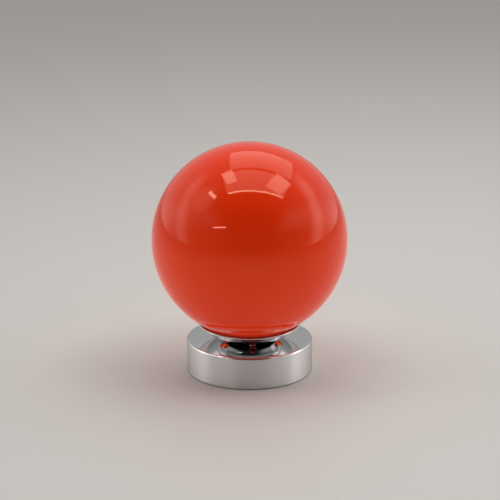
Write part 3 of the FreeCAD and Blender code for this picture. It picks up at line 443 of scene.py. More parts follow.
def spinRound(mesh, segments):
    # turns an outline about the Z axis; points near the axis are put on it, and edges along it are left out
    for vertex in mesh.verts:
        if abs(vertex.co.x) < mm(0.01):
            vertex.co.x = 0.0
    along = [edge for edge in mesh.edges if all(vertex.co.x == 0.0 for vertex in edge.verts)]
    bmesh.ops.delete(mesh, geom=along, context="EDGES")
    bmesh.ops.spin(mesh, geom=mesh.verts[:] + mesh.edges[:], cent=(0, 0, 0), axis=(0, 0, 1),
                   angle=math.tau, steps=segments, use_merge=True)
    bmesh.ops.remove_doubles(mesh, verts=mesh.verts, dist=1e-7)


def turnedMesh(moves, segments=96):
    mesh = bmesh.new()
    traceProfile(mesh, moves)
    spinRound(mesh, segments)
    return mesh


def roundCorners(mesh, width, steps=3, least=35.0, below=1000.0):
    # a small radius on every corner that is sharper than the given angle and starts below the given level
    bmesh.ops.recalc_face_normals(mesh, faces=mesh.faces)
    corners = [edge for edge in mesh.edges
               if len(edge.link_faces) == 2 and edge.calc_face_angle() > math.radians(least)
               and min(vertex.co.z for vertex in edge.verts) < mm(below)]
    bmesh.ops.bevel(mesh, geom=corners, offset=mm(width), offset_type="OFFSET", segments=steps,
                    profile=0.5, affect="EDGES", material=-1, clamp_overlap=True)


def linkObject(name, data):
    made = bpy.data.objects.new(name, data)
    bpy.context.scene.collection.objects.link(made)
    return made


def newObject(name, mesh):
    data = bpy.data.meshes.new(name)
    mesh.to_mesh(data)
    mesh.free()
    return linkObject(name, data)


def finishMesh(mesh, name, material, body, nodes=(), sharp=32.0):
    bmesh.ops.remove_doubles(mesh, verts=mesh.verts, dist=1e-7)
    bmesh.ops.recalc_face_normals(mesh, faces=mesh.faces)
    for face in mesh.faces:
        face.smooth = True
    piece = newObject(name, mesh)
    piece.data.set_sharp_from_angle(angle=math.radians(sharp))
    piece.data.materials.append(materials[material])
    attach(piece, body)
    if nodes:
        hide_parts(*nodes)
    return piece


def carve(piece, cutters, operation="DIFFERENCE", sharp=32.0):
    # cuts closed shapes out of a piece, or keeps only what they share
    for cutter in cutters:
        change = piece.modifiers.new("carve", "BOOLEAN")
        change.operation = operation
        change.solver = "EXACT"
        change.object = cutter
    graph = bpy.context.evaluated_depsgraph_get()
    data = bpy.data.meshes.new_from_object(piece.evaluated_get(graph))
    piece.modifiers.clear()
    piece.data = data
    mesh = bmesh.new()
    mesh.from_mesh(data)
    bmesh.ops.dissolve_degenerate(mesh, edges=mesh.edges, dist=mm(0.01))
    mesh.to_mesh(data)
    mesh.free()
    data.set_sharp_from_angle(angle=math.radians(sharp))
    for cutter in cutters:
        bpy.data.objects.remove(cutter)


def at(x, y, z):
    return Matrix.Translation((mm(x), mm(y), mm(z)))


def turned(degrees, axis="Z"):
    return Matrix.Rotation(math.radians(degrees), 4, axis)


def ringPlaces(count, radius, first):
    # (x, y) of evenly spaced places on a ring, the first at the given turn
    angles = [math.radians(first + 360 / count * index) for index in range(count)]
    return [(radius * math.cos(angle), radius * math.sin(angle)) for angle in angles]


def rodCutter(radius, length, matrix):
    mesh = bmesh.new()
    bmesh.ops.create_cone(mesh, cap_ends=True, segments=48, radius1=mm(radius), radius2=mm(radius),
                          depth=mm(length), matrix=matrix)
    return newObject("cutter", mesh)


def newBox(width, depth, height, matrix):
    mesh = bmesh.new()
    scale = Matrix.Diagonal((mm(width), mm(depth), mm(height), 1))
    bmesh.ops.create_cube(mesh, size=1.0, matrix=matrix @ scale)
    return mesh


def turnedCutter(moves, matrix, segments=64):
    mesh = turnedMesh(moves, segments)
    bmesh.ops.recalc_face_normals(mesh, faces=mesh.faces)
    bmesh.ops.transform(mesh, matrix=matrix, verts=mesh.verts)
    return newObject("cutter", mesh)


def joinInto(mesh, other):
    data = bpy.data.meshes.new("part")
    other.to_mesh(data)
    other.free()
    mesh.from_mesh(data)
    bpy.data.meshes.remove(data)


def climb(mesh, pitch, turns, segments):
    # spins an outline about the Z axis while it rises by one pitch a turn
    bmesh.ops.spin(mesh, geom=mesh.verts[:] + mesh.edges[:], cent=(0, 0, 0), axis=(0, 0, 1),
                   dvec=(0, 0, mm(pitch / segments)), angle=math.tau * turns, steps=round(turns * segments),
                   use_merge=False)


def addRidge(mesh, root, crest, pitch, turns, low, segments=32):
    # a screw thread: a closed ridge that climbs about the Z axis; its crest starts at 0.42 of the pitch
    crestLow, crestHigh, end = [low + pitch * share for share in (0.42, 0.5, 0.92)]
    ridge = bmesh.new()
    traceProfile(ridge, [(root, low), (crest, crestLow), (crest, crestHigh), (root, end)])
    climb(ridge, pitch, turns, segments)
    bmesh.ops.holes_fill(ridge, edges=[edge for edge in ridge.edges if edge.is_boundary], sides=4)
    bmesh.ops.recalc_face_normals(ridge, faces=ridge.faces)
    joinInto(mesh, ridge)


def rolledSheet(size, low, high):
    # sheet metal rolled into a coarse round thread, open at both ends
    mean, swing, pitch = pick(size, "mean", "swing", "pitch")
    segments, steps = 96, 16
    mesh = bmesh.new()
    here = None
    for index in range(steps * math.ceil((high - low) / pitch + 2) + 1):
        radius = mean + swing * math.cos(math.tau * index / steps)
        there = mesh.verts.new((mm(radius), 0, mm(low - pitch + pitch * index / steps)))
        if here:
            mesh.edges.new((here, there))
        here = there
    climb(mesh, pitch, 1, segments)
    bmesh.ops.remove_doubles(mesh, verts=mesh.verts, dist=1e-6)
    for height, above in ((low, False), (high, True)):
        bmesh.ops.bisect_plane(mesh, geom=mesh.verts[:] + mesh.edges[:] + mesh.faces[:], dist=1e-7,
                               plane_co=(0, 0, mm(height)), plane_no=(0, 0, 1),
                               clear_outer=above, clear_inner=not above)
    bmesh.ops.recalc_face_normals(mesh, faces=mesh.faces)
    if sum(face.normal.x * face.calc_center_median().x for face in mesh.faces) < 0:
        bmesh.ops.reverse_faces(mesh, faces=mesh.faces)
    bmesh.ops.solidify(mesh, geom=mesh.faces[:], thickness=mm(size["sheet"]))
    return mesh


def nodeSpan(name):
    low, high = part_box(name)
    return low.z * 1000, high.z * 1000


def angleAt(radius, reach):
    # how far from the axis a ring of this radius lies on a ball of this reach, in degrees
    return math.degrees(math.asin(radius / reach))


globeSizes = {"radius": 100.0, "wall": 3.0, "mouth": 38.0, "lip": 1.1, "segments": 160, "rings": 96}


def makeGlobe():
    size = globeSizes
    radius, mouth, rings = pick(size, "radius", "mouth", "rings")
    inner = radius - size["wall"]
    mesh = turnedMesh([
        (mouth, globeCentre - math.sqrt(radius ** 2 - mouth ** 2)),
        (0, globeCentre, angleAt(mouth, radius) - 180, rings),
        (0, globeCentre + inner),
        (0, globeCentre, 180 - angleAt(mouth, inner), rings),
    ], size["segments"])
    roundCorners(mesh, size["lip"], 4, 40.0)
    finishMesh(mesh, "opalGlobe", "opal_glass", "globe", ["glass_globe"], 60.0)


drumSizes = {"radius": 65.0, "top": 33.5, "wall": 1.2, "plate": 1.5, "low": 0.8, "round": 2.0, "edge": 0.3,
             "hole": 5.2, "fillet": 1.0, "cableHole": 5.0, "cableHeight": 23.0, "segments": 192}


def makeDrum():
    size = drumSizes
    radius, top, low, hole, edge, fillet = pick(size, "radius", "top", "low", "hole", "edge", "fillet")
    inside, under = radius - size["wall"], top - size["plate"]
    shoulder = top - size["round"]
    mesh = turnedMesh([
        (hole, top), (hole, under), (inside - fillet, under), (inside, under - fillet), (inside, low),
        (radius - edge, low), (radius, low + edge), (radius, shoulder),
        (radius - size["round"], shoulder, -90, 10),
    ], size["segments"])
    drum = finishMesh(mesh, "drumCase", "polished_drum", "base", ["drum_shell"])
    carve(drum, [rodCutter(size["cableHole"], 10, at(0, radius, size["cableHeight"]) @ turned(90, "X"))])


dishSizes = {"curve": 76.7, "flat": 28.0, "wall": 1.2, "floor": 33.5, "hole": 5.2, "rimRing": 51.4,
             "rimRadius": 1.0, "ventRing": 33.3, "ventRadius": 3.6, "ventTurn": 36.1, "vents": 6,
             "steps": 28, "segments": 192}
dishCentre = dishSizes["floor"] + math.sqrt(dishSizes["curve"] ** 2 - dishSizes["flat"] ** 2)


def makeDish():
    size = dishSizes
    curve, floor, hole, rim, ring = pick(size, "curve", "floor", "hole", "rimRadius", "rimRing")
    inner, top, middle = curve - size["wall"], floor + size["wall"], curve - rim
    rimHeight = dishCentre - math.sqrt(middle ** 2 - ring ** 2)
    tilt = angleAt(ring, middle)
    flatIn = math.sqrt(inner ** 2 - (dishCentre - top) ** 2)
    # the rolled rim starts and ends on the two skins of the sheet
    gap = math.degrees(math.acos((inner ** 2 + middle ** 2 - rim ** 2) / (2 * inner * middle)))
    ends = []
    for reach, angle in ((inner, tilt - gap), (curve, tilt)):
        radius = reach * math.sin(math.radians(angle))
        height = dishCentre - reach * math.cos(math.radians(angle))
        ends.append(math.degrees(math.atan2(radius - ring, height - rimHeight)))
    mesh = turnedMesh([
        (hole, floor), (hole, top), (flatIn, top),
        (0, dishCentre, angleAt(flatIn, inner) - (tilt - gap), size["steps"]),
        (ring, rimHeight, (ends[1] - ends[0]) % 360, size["steps"]),
        (0, dishCentre, tilt - angleAt(size["flat"], curve), size["steps"]),
    ], size["segments"])
    dish = finishMesh(mesh, "galleryDish", "polished_dish", "base", ["gallery_bowl"], 40.0)
    places = ringPlaces(size["vents"], size["ventRing"], size["ventTurn"])
    carve(dish, [rodCutter(size["ventRadius"], 16, at(x, y, floor + 4)) for x, y in places], sharp=40.0)


footSizes = {"inner": 52.5, "outer": 61.5, "height": 1.5, "edge": 0.5, "grooves": 2, "deep": 0.4,
             "mouth": 0.9, "floor": 0.5, "segments": 128}  # mouth and floor: half widths of a groove


def makeFootRing():
    # a soft ring with grooves in its sole
    size = footSizes
    inner, outer, height, edge, deep = pick(size, "inner", "outer", "height", "edge", "deep")
    mouth, floor, grooves = pick(size, "mouth", "floor", "grooves")
    land = (outer - inner) / (grooves + 1)
    moves = [(inner, height), (inner, edge), (inner + edge, 0.0)]
    for index in range(1, grooves + 1):
        middle = inner + land * index
        moves += [(middle - mouth, 0.0), (middle - floor, deep), (middle + floor, deep),
                  (middle + mouth, 0.0)]
    moves += [(outer - edge, 0.0), (outer, edge), (outer, height)]
    finishMesh(turnedMesh(moves, size["segments"]), "footRing", "black_rubber", "base", ["foot_ring"], 50.0)


seatSizes = {"inner": 44.5, "outer": 50.0, "rise": 2.7, "gap": 0.3, "round": 0.45, "segments": 144}


def makeSeatRing():
    # the soft ring between the dish and the ball
    size = seatSizes
    inner, outer = size["inner"], size["outer"]
    below = dishSizes["curve"] - dishSizes["wall"] - size["gap"]
    above = globeSizes["radius"] + size["gap"]
    mesh = turnedMesh([
        (inner, dishCentre - math.sqrt(below ** 2 - inner ** 2)),
        (0, dishCentre, angleAt(inner, below) - angleAt(outer, below), 5),
        (outer, dishCentre - math.sqrt(below ** 2 - outer ** 2) + size["rise"]),
        (0, globeCentre, angleAt(outer, above) - angleAt(inner, above), 5),
    ], size["segments"])
    roundCorners(mesh, size["round"], 3)
    finishMesh(mesh, "seatRing", "red_rubber", "base", ["seat_ring"], 45.0)


springSizes = {"hub": 17.0, "hole": 5.2, "low": 34.7, "sheet": 1.0, "arms": 3, "turn": 66.1, "armSheet": 0.9,
               "path": [(15.0, 35.2, 3.2), (17.6, 35.25, 3.2), (20.0, 36.1, 3.4), (27.0, 39.8, 4.0),
                        (34.6, 43.75, 4.6), (36.1, 44.9, 4.7), (36.7, 46.4, 4.7), (36.65, 54.2, 4.1)],
               "armEdge": 0.12, "edgesBelow": 53.0, "sleeve": (35.75, 37.5, 47.4, 53.9, 5.0)}


def flatRing(hole, radius, low, high, edge, steps):
    mesh = turnedMesh([(hole, low), (radius, low), (radius, high), (hole, high)])
    roundCorners(mesh, edge, steps)
    return mesh


def sweepStrip(mesh, path):
    # a flat strip through (radius, height, half width) stations
    radius, height, half = path[0]
    ends = [mesh.verts.new((mm(radius), mm(side * half), mm(height))) for side in (-1, 1)]
    edge = mesh.edges.new(ends)
    for radius, height, half in path[1:]:
        grown = bmesh.ops.extrude_edge_only(mesh, edges=[edge])["geom"]
        edge = [item for item in grown if isinstance(item, bmesh.types.BMEdge)][0]
        for vertex in edge.verts:
            vertex.co = (mm(radius), math.copysign(mm(half), vertex.co.y), mm(height))


def makeSprings():
    # a hub with bent arms, and a soft sleeve over each arm's end (radii, levels and half width)
    size = springSizes
    whole = flatRing(size["hole"], size["hub"], size["low"], size["low"] + size["sheet"], 0.15, 2)
    inner, outer, low, high, half = size["sleeve"]
    tips = bmesh.new()
    for index in range(size["arms"]):
        turn = turned(size["turn"] + 360 / size["arms"] * index)
        arm = bmesh.new()
        sweepStrip(arm, size["path"])
        bmesh.ops.solidify(arm, geom=arm.faces[:], thickness=mm(size["armSheet"]))
        roundCorners(arm, size["armEdge"], 2, 60.0, size["edgesBelow"])
        bmesh.ops.transform(arm, matrix=turn, verts=arm.verts)
        joinInto(whole, arm)
        sleeve = newBox(outer - inner, half * 2, high - low, at((inner + outer) / 2, 0, (low + high) / 2))
        roundCorners(sleeve, 0.6, 4)
        bmesh.ops.transform(sleeve, matrix=turn, verts=sleeve.verts)
        joinInto(tips, sleeve)
    finishMesh(whole, "centringSprings", "spring_steel", "base", ["globe_spider"])
    finishMesh(tips, "springTips", "black_rubber", "base", (), 50.0)


washerSizes = {"hole": 5.2, "radius": 10.0, "round": 0.25}


def makeWasher(name, node):
    mesh = flatRing(washerSizes["hole"], washerSizes["radius"], *nodeSpan(node), washerSizes["round"], 3)
    finishMesh(mesh, name, "tube_steel", "base", [node])


nutSizes = {"large": {"flats": 14.0, "thread": 5.05, "pitch": 1.0},
            "small": {"flats": 7.0, "thread": 2.05, "pitch": 0.7, "height": 3.2, "place": (-15.0, 4.0)},
            "cornerRise": 0.577, "rootShare": 0.35, "lead": 0.3}


def makeNut(name, material, node, size, low, high, x=0, y=0):
    # a hexagon, its corners rounded off as a nut's are, and then its thread cut out
    flats, thread, pitch = pick(size, "flats", "thread", "pitch")
    cornerRise, rootShare, lead = pick(nutSizes, "cornerRise", "rootShare", "lead")
    corner = flats / math.sqrt(3)
    mesh = bmesh.new()
    bmesh.ops.create_cone(mesh, cap_ends=True, segments=6, radius1=mm(corner), radius2=mm(corner),
                          depth=mm(high - low), matrix=at(x, y, (low + high) / 2) @ turned(90))
    nut = finishMesh(mesh, name, material, "base", [node])
    rise = (corner - flats / 2 + 0.1) * cornerRise
    outer, inner = corner + 0.1, flats / 2 - 0.05
    outline = [(0, low), (inner, low), (outer, low + rise), (outer, high - rise), (inner, high), (0, high)]
    carve(nut, [turnedCutter(outline, at(x, y, 0))], "INTERSECT")
    root, wide = thread - pitch * rootShare, thread + lead
    moves = [(0, low - 1), (wide, low - 1), (wide, low)]
    height = low + lead
    while height + pitch < high - lead:
        moves += [(root, height), (thread, height + pitch / 2)]
        height += pitch
    moves += [(root, height), (wide, high), (wide, high + 1), (0, high + 1)]
    carve(nut, [turnedCutter(moves, at(x, y, 0), 48)])


def makeNuts():
    for name, node in (("upperNut", "upper_nut"), ("lowerNut", "lower_nut")):
        makeNut(name, "nut_steel", node, nutSizes["large"], *nodeSpan(node))
    small = nutSizes["small"]
    low, high = nodeSpan("earth_nuts")
    for name, start in (("earthNutA", low), ("earthNutB", high - small["height"])):
        makeNut(name, "stud_brass", "earth_nuts", small, start, start + small["height"], *small["place"])


tubeSizes = {"radius": 5.0, "bore": 3.5, "root": 4.5, "pitch": 1.0, "chamfer": 0.6, "edge": 0.3}


def makeTube():
    # the threaded tube that clamps the drum, the dish and the lampholder together
    radius, bore, root, pitch, chamfer, edge = pick(
        tubeSizes, "radius", "bore", "root", "pitch", "chamfer", "edge")
    low, high = nodeSpan("nipple")
    mesh = turnedMesh([
        (bore + edge, low), (root - edge, low), (root, low + 0.4), (root, high - 0.4), (root - edge, high),
        (bore + edge, high), (bore, high - edge), (bore, low + edge)], 64)
    addRidge(mesh, root - 0.06, radius, pitch, (high - low - 2 * chamfer) / pitch - 1, low + chamfer)
    finishMesh(mesh, "threadedTube", "tube_steel", "base", ["nipple"], 40.0)


holderSizes = {"radius": 20.0, "wall": 2.0, "floor": 2.5, "foot": 3.0, "hole": 5.05, "boss": 8.0,
               "bossHeight": 5.4, "ledge": 1.5, "coreLow": 54.1, "flutes": 36, "fluteDepth": 0.55,
               "columns": 6, "shellHole": 13.6, "shellSide": 14.2, "lip": 2.0, "coreTop": 60.1}


def flute(mesh, low, high):
    # shallow grip flutes around the outer wall between two levels
    size = holderSizes
    for vertex in mesh.verts:
        outside = math.hypot(vertex.co.x, vertex.co.y) > mm(size["radius"] - 0.3)
        if outside and mm(low) < vertex.co.z < mm(high):
            angle = math.atan2(vertex.co.y, vertex.co.x)
            dip = 0.5 - 0.5 * math.cos(angle * size["flutes"])
            scale = 1 - size["fluteDepth"] / size["radius"] * dip
            vertex.co.x *= scale
            vertex.co.y *= scale


def makeHolder():
    size = holderSizes
    radius, foot, hole, boss, coreLow, coreTop, shellHole, shellSide = pick(
        size, "radius", "foot", "hole", "boss", "coreLow", "coreTop", "shellHole", "shellSide")
    columns = size["flutes"] * size["columns"]
    inside = radius - size["wall"]
    ledge = inside - size["ledge"]
    low, joint = nodeSpan("holder_cap")
    floorTop = low + size["floor"]
    bossTop = floorTop + size["bossHeight"]
    dome = turnedMesh([
        (hole, bossTop), (hole, low), (radius - foot, low), (radius - foot, low + foot, -90, 8),
        (radius, low + 4.0), (radius, low + 4.5), (radius, joint - 1.6), (radius, joint - 1.1),
        (radius, joint - 0.3), (radius - 0.3, joint - 0.02), (inside, joint - 0.02), (inside, coreLow),
        (ledge, coreLow), (ledge, floorTop), (boss, floorTop), (boss, bossTop)], columns)
    flute(dome, low + 4.2, joint - 1.3)
    finishMesh(dome, "holderDome", "holder_plastic", "base", ["holder_cap"], 40.0)
    low, high = nodeSpan("holder_skirt")
    neck, lip = radius - 0.35, high - size["lip"]
    sleeve = turnedMesh([
        (radius - 0.3, low + 0.02), (radius, low + 0.3), (radius, low + 1.1), (radius, low + 1.6),
        (radius, low + 7.4), (radius, low + 7.9), (neck, low + 8.6), (neck, high - 1.2),
        (radius - 1.55, high - 1.2, -90, 8), (shellHole + 0.5, high), (shellHole, high - 0.5),
        (shellHole, lip), (shellSide, lip), (shellSide, coreTop), (inside, coreTop), (inside, low + 0.02),
    ], columns)
    flute(sleeve, low + 1.3, low + 7.7)
    finishMesh(sleeve, "holderSleeve", "holder_plastic", "base", ["holder_skirt"], 40.0)


shellSizes = {"mean": 13.50, "swing": 0.12, "pitch": 3.62, "sheet": 0.36}


def makeShell():
    # the holder's brass thread, pressed from sheet
    low, high = nodeSpan("holder_thread")
    mesh = rolledSheet(shellSizes, low + 0.02, high)
    finishMesh(mesh, "holderShell", "holder_brass", "base", ["holder_thread"], 50.0)


capSizes = {"mean": 12.67, "swing": 0.38, "pitch": 3.62, "turns": 4, "sheet": 0.4, "low": 66.8,
            "outer": 13.05, "inner": 12.55, "foot": 11.2}


def makeBulbCap():
    # the bulb's rolled cap, its plain collar and the dome that holds the black glass
    size = capSizes
    mean, low, outer, inner, foot = pick(size, "mean", "low", "outer", "inner", "foot")
    shoulder = low + size["pitch"] * size["turns"]
    high = nodeSpan("bulb_cap")[1]
    mesh = rolledSheet(size, low + 0.2, shoulder + 0.3)
    joinInto(mesh, turnedMesh([
        (inner, shoulder), (outer - 0.25, shoulder), (outer, shoulder + 0.35), (outer, high - 0.9),
        (outer - 0.12, high - 0.6), (outer - 0.12, high - 0.3), (outer - 0.3, high), (inner, high)]))
    joinInto(mesh, turnedMesh([
        (foot - 0.3, low - 0.3), (foot, low - 0.35), (mean - 0.25, low + 0.1), (mean - 0.05, low + 0.7),
        (mean - 0.45, low + 0.9), (mean - 0.6, low + 0.4), (foot - 0.3, low + 0.1)]))
    finishMesh(mesh, "bulbScrewCap", "bulb_metal", "bulb", ["bulb_cap"], 45.0)


tipSizes = {"radius": 4.6, "side": [(1.0, 0.04), (1.8, 0.18), (2.2, 0.42), (2.7, 0.5), (4.1, 0.95)]}


def makeBulbTip():
    # the soldered tip: a flat cone with a slightly domed blob
    radius = tipSizes["radius"]
    low, high = nodeSpan("bulb_contact")
    side = [(across, low + rise) for across, rise in tipSizes["side"]]
    mesh = turnedMesh([(0, low), *side, (radius, high - 0.1), (radius, high), (0, high)], 48)
    finishMesh(mesh, "bulbTip", "bulb_tin", "bulb", ["bulb_contact"], 50.0)


envelopeSizes = {"ball": 30.0, "neck": 12.4, "glass": 0.8, "slope": 32.0, "blend": 14.0, "steps": 44,
                 "bendSteps": 10, "segments": 128}


def makeEnvelope():
    # the bulb's glass: a neck that flows through a cone into a ball, first outside, then inside
    size = envelopeSizes
    ball, neck, glass, blend, slope, steps, bendSteps = pick(
        size, "ball", "neck", "glass", "blend", "slope", "steps", "bendSteps")
    low, high = nodeSpan("bulb_envelope")
    rise, across = math.sin(math.radians(slope)), math.cos(math.radians(slope))
    centre, middle = high - ball, neck + blend
    touch = (ball * across, centre - ball * rise)
    crease = touch[1] - (touch[0] - neck) * across / rise
    start = crease - blend * math.tan(math.radians(slope) / 2)
    bendEnd = (middle - (blend + glass) * across, start + (blend + glass) * rise)
    mesh = turnedMesh([
        (neck, low), (neck, start), (middle, start, slope, bendSteps), touch,
        (0, centre, -90 - slope, steps), (0, high - glass), (0, centre, 90 + slope, steps),
        bendEnd, (middle, start, -slope, bendSteps), (neck - glass, low)], size["segments"])
    finishMesh(mesh, "bulbEnvelope", "bulb_glass", "bulb", ["bulb_envelope"], 60.0)


coilSizes = {"wire": 0.11, "coil": 0.34, "pitch": 0.42, "half": 11.0, "sag": 4.0, "below": 0.5, "curve": 1.6,
             "steps": 10}


def makeFilament():
    # a coiled thread between the two lead wires, hanging in a shallow curve
    half, pitch, steps, sag, curve = pick(coilSizes, "half", "pitch", "steps", "sag", "curve")
    top = nodeSpan("bulb_filament")[1] - coilSizes["below"]
    turns = round(half * 2 / pitch)
    mesh = bmesh.new()
    bmesh.ops.create_circle(mesh, cap_ends=False, segments=6, radius=mm(coilSizes["wire"]),
                            matrix=at(-half, 0, coilSizes["coil"]) @ turned(90, "X"))
    bmesh.ops.spin(mesh, geom=mesh.verts[:] + mesh.edges[:], cent=(0, 0, 0), axis=(1, 0, 0),
                   dvec=(mm(pitch / steps), 0, 0), angle=math.tau * turns, steps=steps * turns,
                   use_merge=False)
    bmesh.ops.holes_fill(mesh, edges=[edge for edge in mesh.edges if edge.is_boundary], sides=6)
    for vertex in mesh.verts:
        share = abs(vertex.co.x) / mm(half)
        vertex.co.z += mm(top - sag * (1 - share ** curve))
    finishMesh(mesh, "filamentCoil", "filament_metal", "bulb", ["bulb_filament"], 60.0)


screwSizes = {"ring": 45.0, "turn": 30.0, "count": 3, "head": 3.95, "shank": 2.0, "root": 1.72, "pitch": 0.7,
              "headHeight": 2.0, "reach": 10.0, "low": 1.5, "studPlace": (-15.0, 4.0), "studReach": 13.0,
              "slotWidth": 0.9, "slotDepth": 1.1, "slotLength": 4.4, "slotTurn": 20, "slotStep": 35}


def makeScrew(name, material, node, length, x, y, slots):
    # a countersunk screw with its head down; each slot is given by its turn
    size = screwSizes
    head, root, pitch, headHeight = pick(size, "head", "root", "pitch", "headHeight")
    low = size["low"] + 0.02
    neck, end = low + headHeight, low + length
    mesh = turnedMesh([
        (0, low), (head - 0.25, low), (head, low + 0.2), (root + 0.1, neck), (root, end - 0.5),
        (root - 0.5, end), (0, end)], 48)
    bmesh.ops.transform(mesh, matrix=at(x, y, 0), verts=mesh.verts)
    screw = finishMesh(mesh, name, material, "base", [node])
    cutters = []
    for turn in slots:
        slot = newBox(size["slotLength"], size["slotWidth"], size["slotDepth"] * 2,
                      at(x, y, size["low"]) @ turned(turn))
        cutters.append(newObject("cutter", slot))
    carve(screw, cutters)
    thread = bmesh.new()
    turns = (length - headHeight - 1.0) / pitch - 1
    addRidge(thread, root - 0.05, size["shank"], pitch, turns, neck + 0.3, 24)
    bmesh.ops.transform(thread, matrix=at(x, y, 0), verts=thread.verts)
    thread.from_mesh(screw.data)
    thread.to_mesh(screw.data)
    thread.free()


def makeScrews():
    size = screwSizes
    for index, (x, y) in enumerate(ringPlaces(size["count"], size["ring"], size["turn"])):
        turn = size["slotTurn"] + size["slotStep"] * index
        slots = (turn, turn + 90)
        makeScrew(f"baseScrew{index + 1}", "screw_steel", "base_screws", size["reach"], x, y, slots)
    makeScrew("earthScrew", "stud_brass", "earth_stud", size["studReach"], *size["studPlace"], (50,))


bushSizes = {"bore": 3.4, "sleeve": 4.8, "catch": 5.9, "low": 60.4, "catchTop": 63.5, "face": 65.0,
             "flange": 6.5, "flangeHeight": 1.5, "height": 23.0}


def makeBush():
    # the cable inlet's grommet: a rounded flange outside and a catch inside
    bore, sleeve, catch, low, catchTop, face, flange = pick(
        bushSizes, "bore", "sleeve", "catch", "low", "catchTop", "face", "flange")
    top = face + bushSizes["flangeHeight"]
    mesh = turnedMesh([
        (bore + 0.4, low), (sleeve - 0.2, low), (sleeve, low + 0.2), (catch, catchTop - 1.4),
        (catch, catchTop - 0.02), (sleeve, catchTop - 0.02), (sleeve, face + 0.02),
        (flange - 0.2, face + 0.02), (flange, face + 0.25), (flange, top - 0.8),
        (flange - 0.8, top - 0.8, -90, 6), (bore + 0.9, top),
        (bore + 0.9, top - 0.9, -90, 6), (bore, low + 0.4)], 72)
    bmesh.ops.transform(mesh, matrix=at(0, 0, bushSizes["height"]) @ turned(-90, "X"), verts=mesh.verts)
    finishMesh(mesh, "cableGrommet", "bush_plastic", "base", ["cable_bush"], 40.0)


# the lamp's pieces
makeGlobe()
makeDrum()
makeDish()
makeFootRing()
makeSeatRing()
print("ball, drum and dish made")
makeSprings()
makeWasher("upperWasher", "upper_washer")
makeWasher("lowerWasher", "lower_washer")
makeNuts()
makeTube()
print("clamping parts made")
makeHolder()
makeShell()
makeBulbCap()
makeBulbTip()
makeEnvelope()
makeFilament()
print("lampholder and bulb made")
makeScrews()
makeBush()
print("fixings made")


stageSizes = {"floor": 30.0, "colour": (0.62, 0.60, 0.57), "rough": 0.6}
roomLight = {"tone": (1.0, 0.985, 0.97), "front": 0.03, "back": 0.47, "sides": 0.20, "sideStart": 0.25,
             "streakStart": 0.45, "streakEnd": 0.75, "leftShare": 0.7,
             "streaks": ((0.6, (-0.33, 0.42, 0.845), 0.30), (1.4, (0.09, 0.82, -0.565), 0.24)),
             "spot": 0.9, "spotPlace": (-0.72, -0.07, 0.69), "spotEdge": 0.955}


def makeStage():
    mesh = bmesh.new()
    bmesh.ops.create_grid(mesh, x_segments=1, y_segments=1, size=stageSizes["floor"])
    floor = newObject("paleFloor", mesh)
    floor.data.materials.append(startMaterial("pale_floor", {
        "Roughness": stageSizes["rough"], "Base Color": (*stageSizes["colour"], 1)})[0])


def dotNode(tree, first, second):
    return addNode(tree, "ShaderNodeVectorMath", {"operation": "DOT_PRODUCT"}, {
        0: first, 1: second}).outputs["Value"]


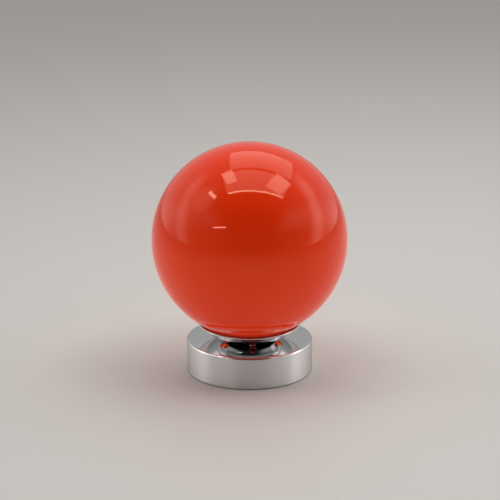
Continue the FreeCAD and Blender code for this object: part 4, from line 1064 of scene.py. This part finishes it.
def makeRoom():
    # a pale room: brighter behind the lamp, dim in front, and a soft sloping streak on each side
    look = roomLight
    world = bpy.data.worlds.new("paleRoom")
    world.use_nodes = True
    tree = world.node_tree
    where = tree.nodes.new("ShaderNodeTexCoord").outputs["Generated"]
    x, y, z = addNode(tree, "ShaderNodeSeparateXYZ", None, {0: where}).outputs
    across = mathNode(tree, "ABSOLUTE", x)
    mirrored = addNode(tree, "ShaderNodeCombineXYZ", None, {0: across, 1: y, 2: z}).outputs[0]
    reach = smoothStep(tree, across, look["streakStart"], look["streakEnd"])
    rightness = addNode(tree, "ShaderNodeMapRange", None, {
        "Value": x, "From Min": -0.1, "From Max": 0.1, "To Min": look["leftShare"]}).outputs[0]
    light = spread(tree, smoothStep(tree, y, -0.7, 0.7), look["front"], look["back"])
    light = addShare(tree, light, smoothStep(tree, across, look["sideStart"], 1.0), look["sides"])
    for strength, normal, width in look["streaks"]:
        away = mathNode(tree, "ABSOLUTE", dotNode(tree, mirrored, normal))
        band = mathNode(tree, "MULTIPLY", smoothStep(tree, away, width, 0.0), reach)
        light = addShare(tree, light, mathNode(tree, "MULTIPLY", band, rightness), strength)
    spot = smoothStep(tree, dotNode(tree, where, look["spotPlace"]), look["spotEdge"], 1.0)
    background = tree.nodes["Background"]
    background.inputs[0].default_value = (*look["tone"], 1)
    tree.links.new(addShare(tree, light, spot, look["spot"]), background.inputs[1])
    bpy.context.scene.world = world


lamps = {
    "overheadFront": {"place": (0.17, -0.08, 1.34), "size": (1.36, 0.62), "power": 3.9},
    "overheadBack": {"place": (0.26, 0.84, 1.34), "size": (1.20, 1.04), "power": 4.6},
    "overheadEdge": {"place": (0.17, -0.39, 1.33), "size": (1.30, 0.05), "power": 1.6},
    "leftPatch": {"place": (-0.38, 0.10, 1.33), "size": (0.22, 0.42), "power": 1.0, "twist": 12},
    "rightPatch": {"place": (0.62, -0.02, 1.33), "size": (0.42, 0.56), "power": 1.9, "twist": -20},
    "leftGlint": {"place": (-0.90, -0.24, 1.34), "size": (0.30, 0.09), "power": 0.7, "aim": (0, 0, 0.14)},
    "frontGlint": {"place": (-1.09, -1.42, 1.015), "size": (0.55, 0.022), "power": 1.1, "twist": 14,
                   "aim": (0, 0, 0.14)},
}


def makeLamps():
    # a lamp without an aim points straight down
    for name, lamp in lamps.items():
        data = bpy.data.lights.new(name, "AREA")
        data.shape = "RECTANGLE"
        data.size, data.size_y = lamp["size"]
        data.energy = lamp["power"]
        light = linkObject(name, data)
        light.visible_camera = False
        light.location = lamp["place"]
        light.rotation_mode = "QUATERNION"
        aim = Vector(lamp.get("aim", (*lamp["place"][:2], 0.0)))
        facing = (aim - Vector(lamp["place"])).to_track_quat("-Z", "Y")
        light.rotation_quaternion = facing @ Quaternion((0, 0, 1), math.radians(lamp.get("twist", 0)))


cameraPlace = {"lens": 115.2, "sensor": 36.0, "place": (0.0005, -1.562, 0.6004), "down": 16.85}


def makeCamera():
    data = bpy.data.cameras.new("photoCamera")
    data.sensor_width = cameraPlace["sensor"]
    data.lens = cameraPlace["lens"]
    camera = linkObject("photoCamera", data)
    camera.location = cameraPlace["place"]
    camera.rotation_euler = (math.radians(90 - cameraPlace["down"]), 0, 0)
    bpy.context.scene.camera = camera


makeStage()
makeRoom()
makeLamps()
makeCamera()
bpy.context.scene.view_settings.view_transform = "Standard"
print("stage, lamps and camera made")
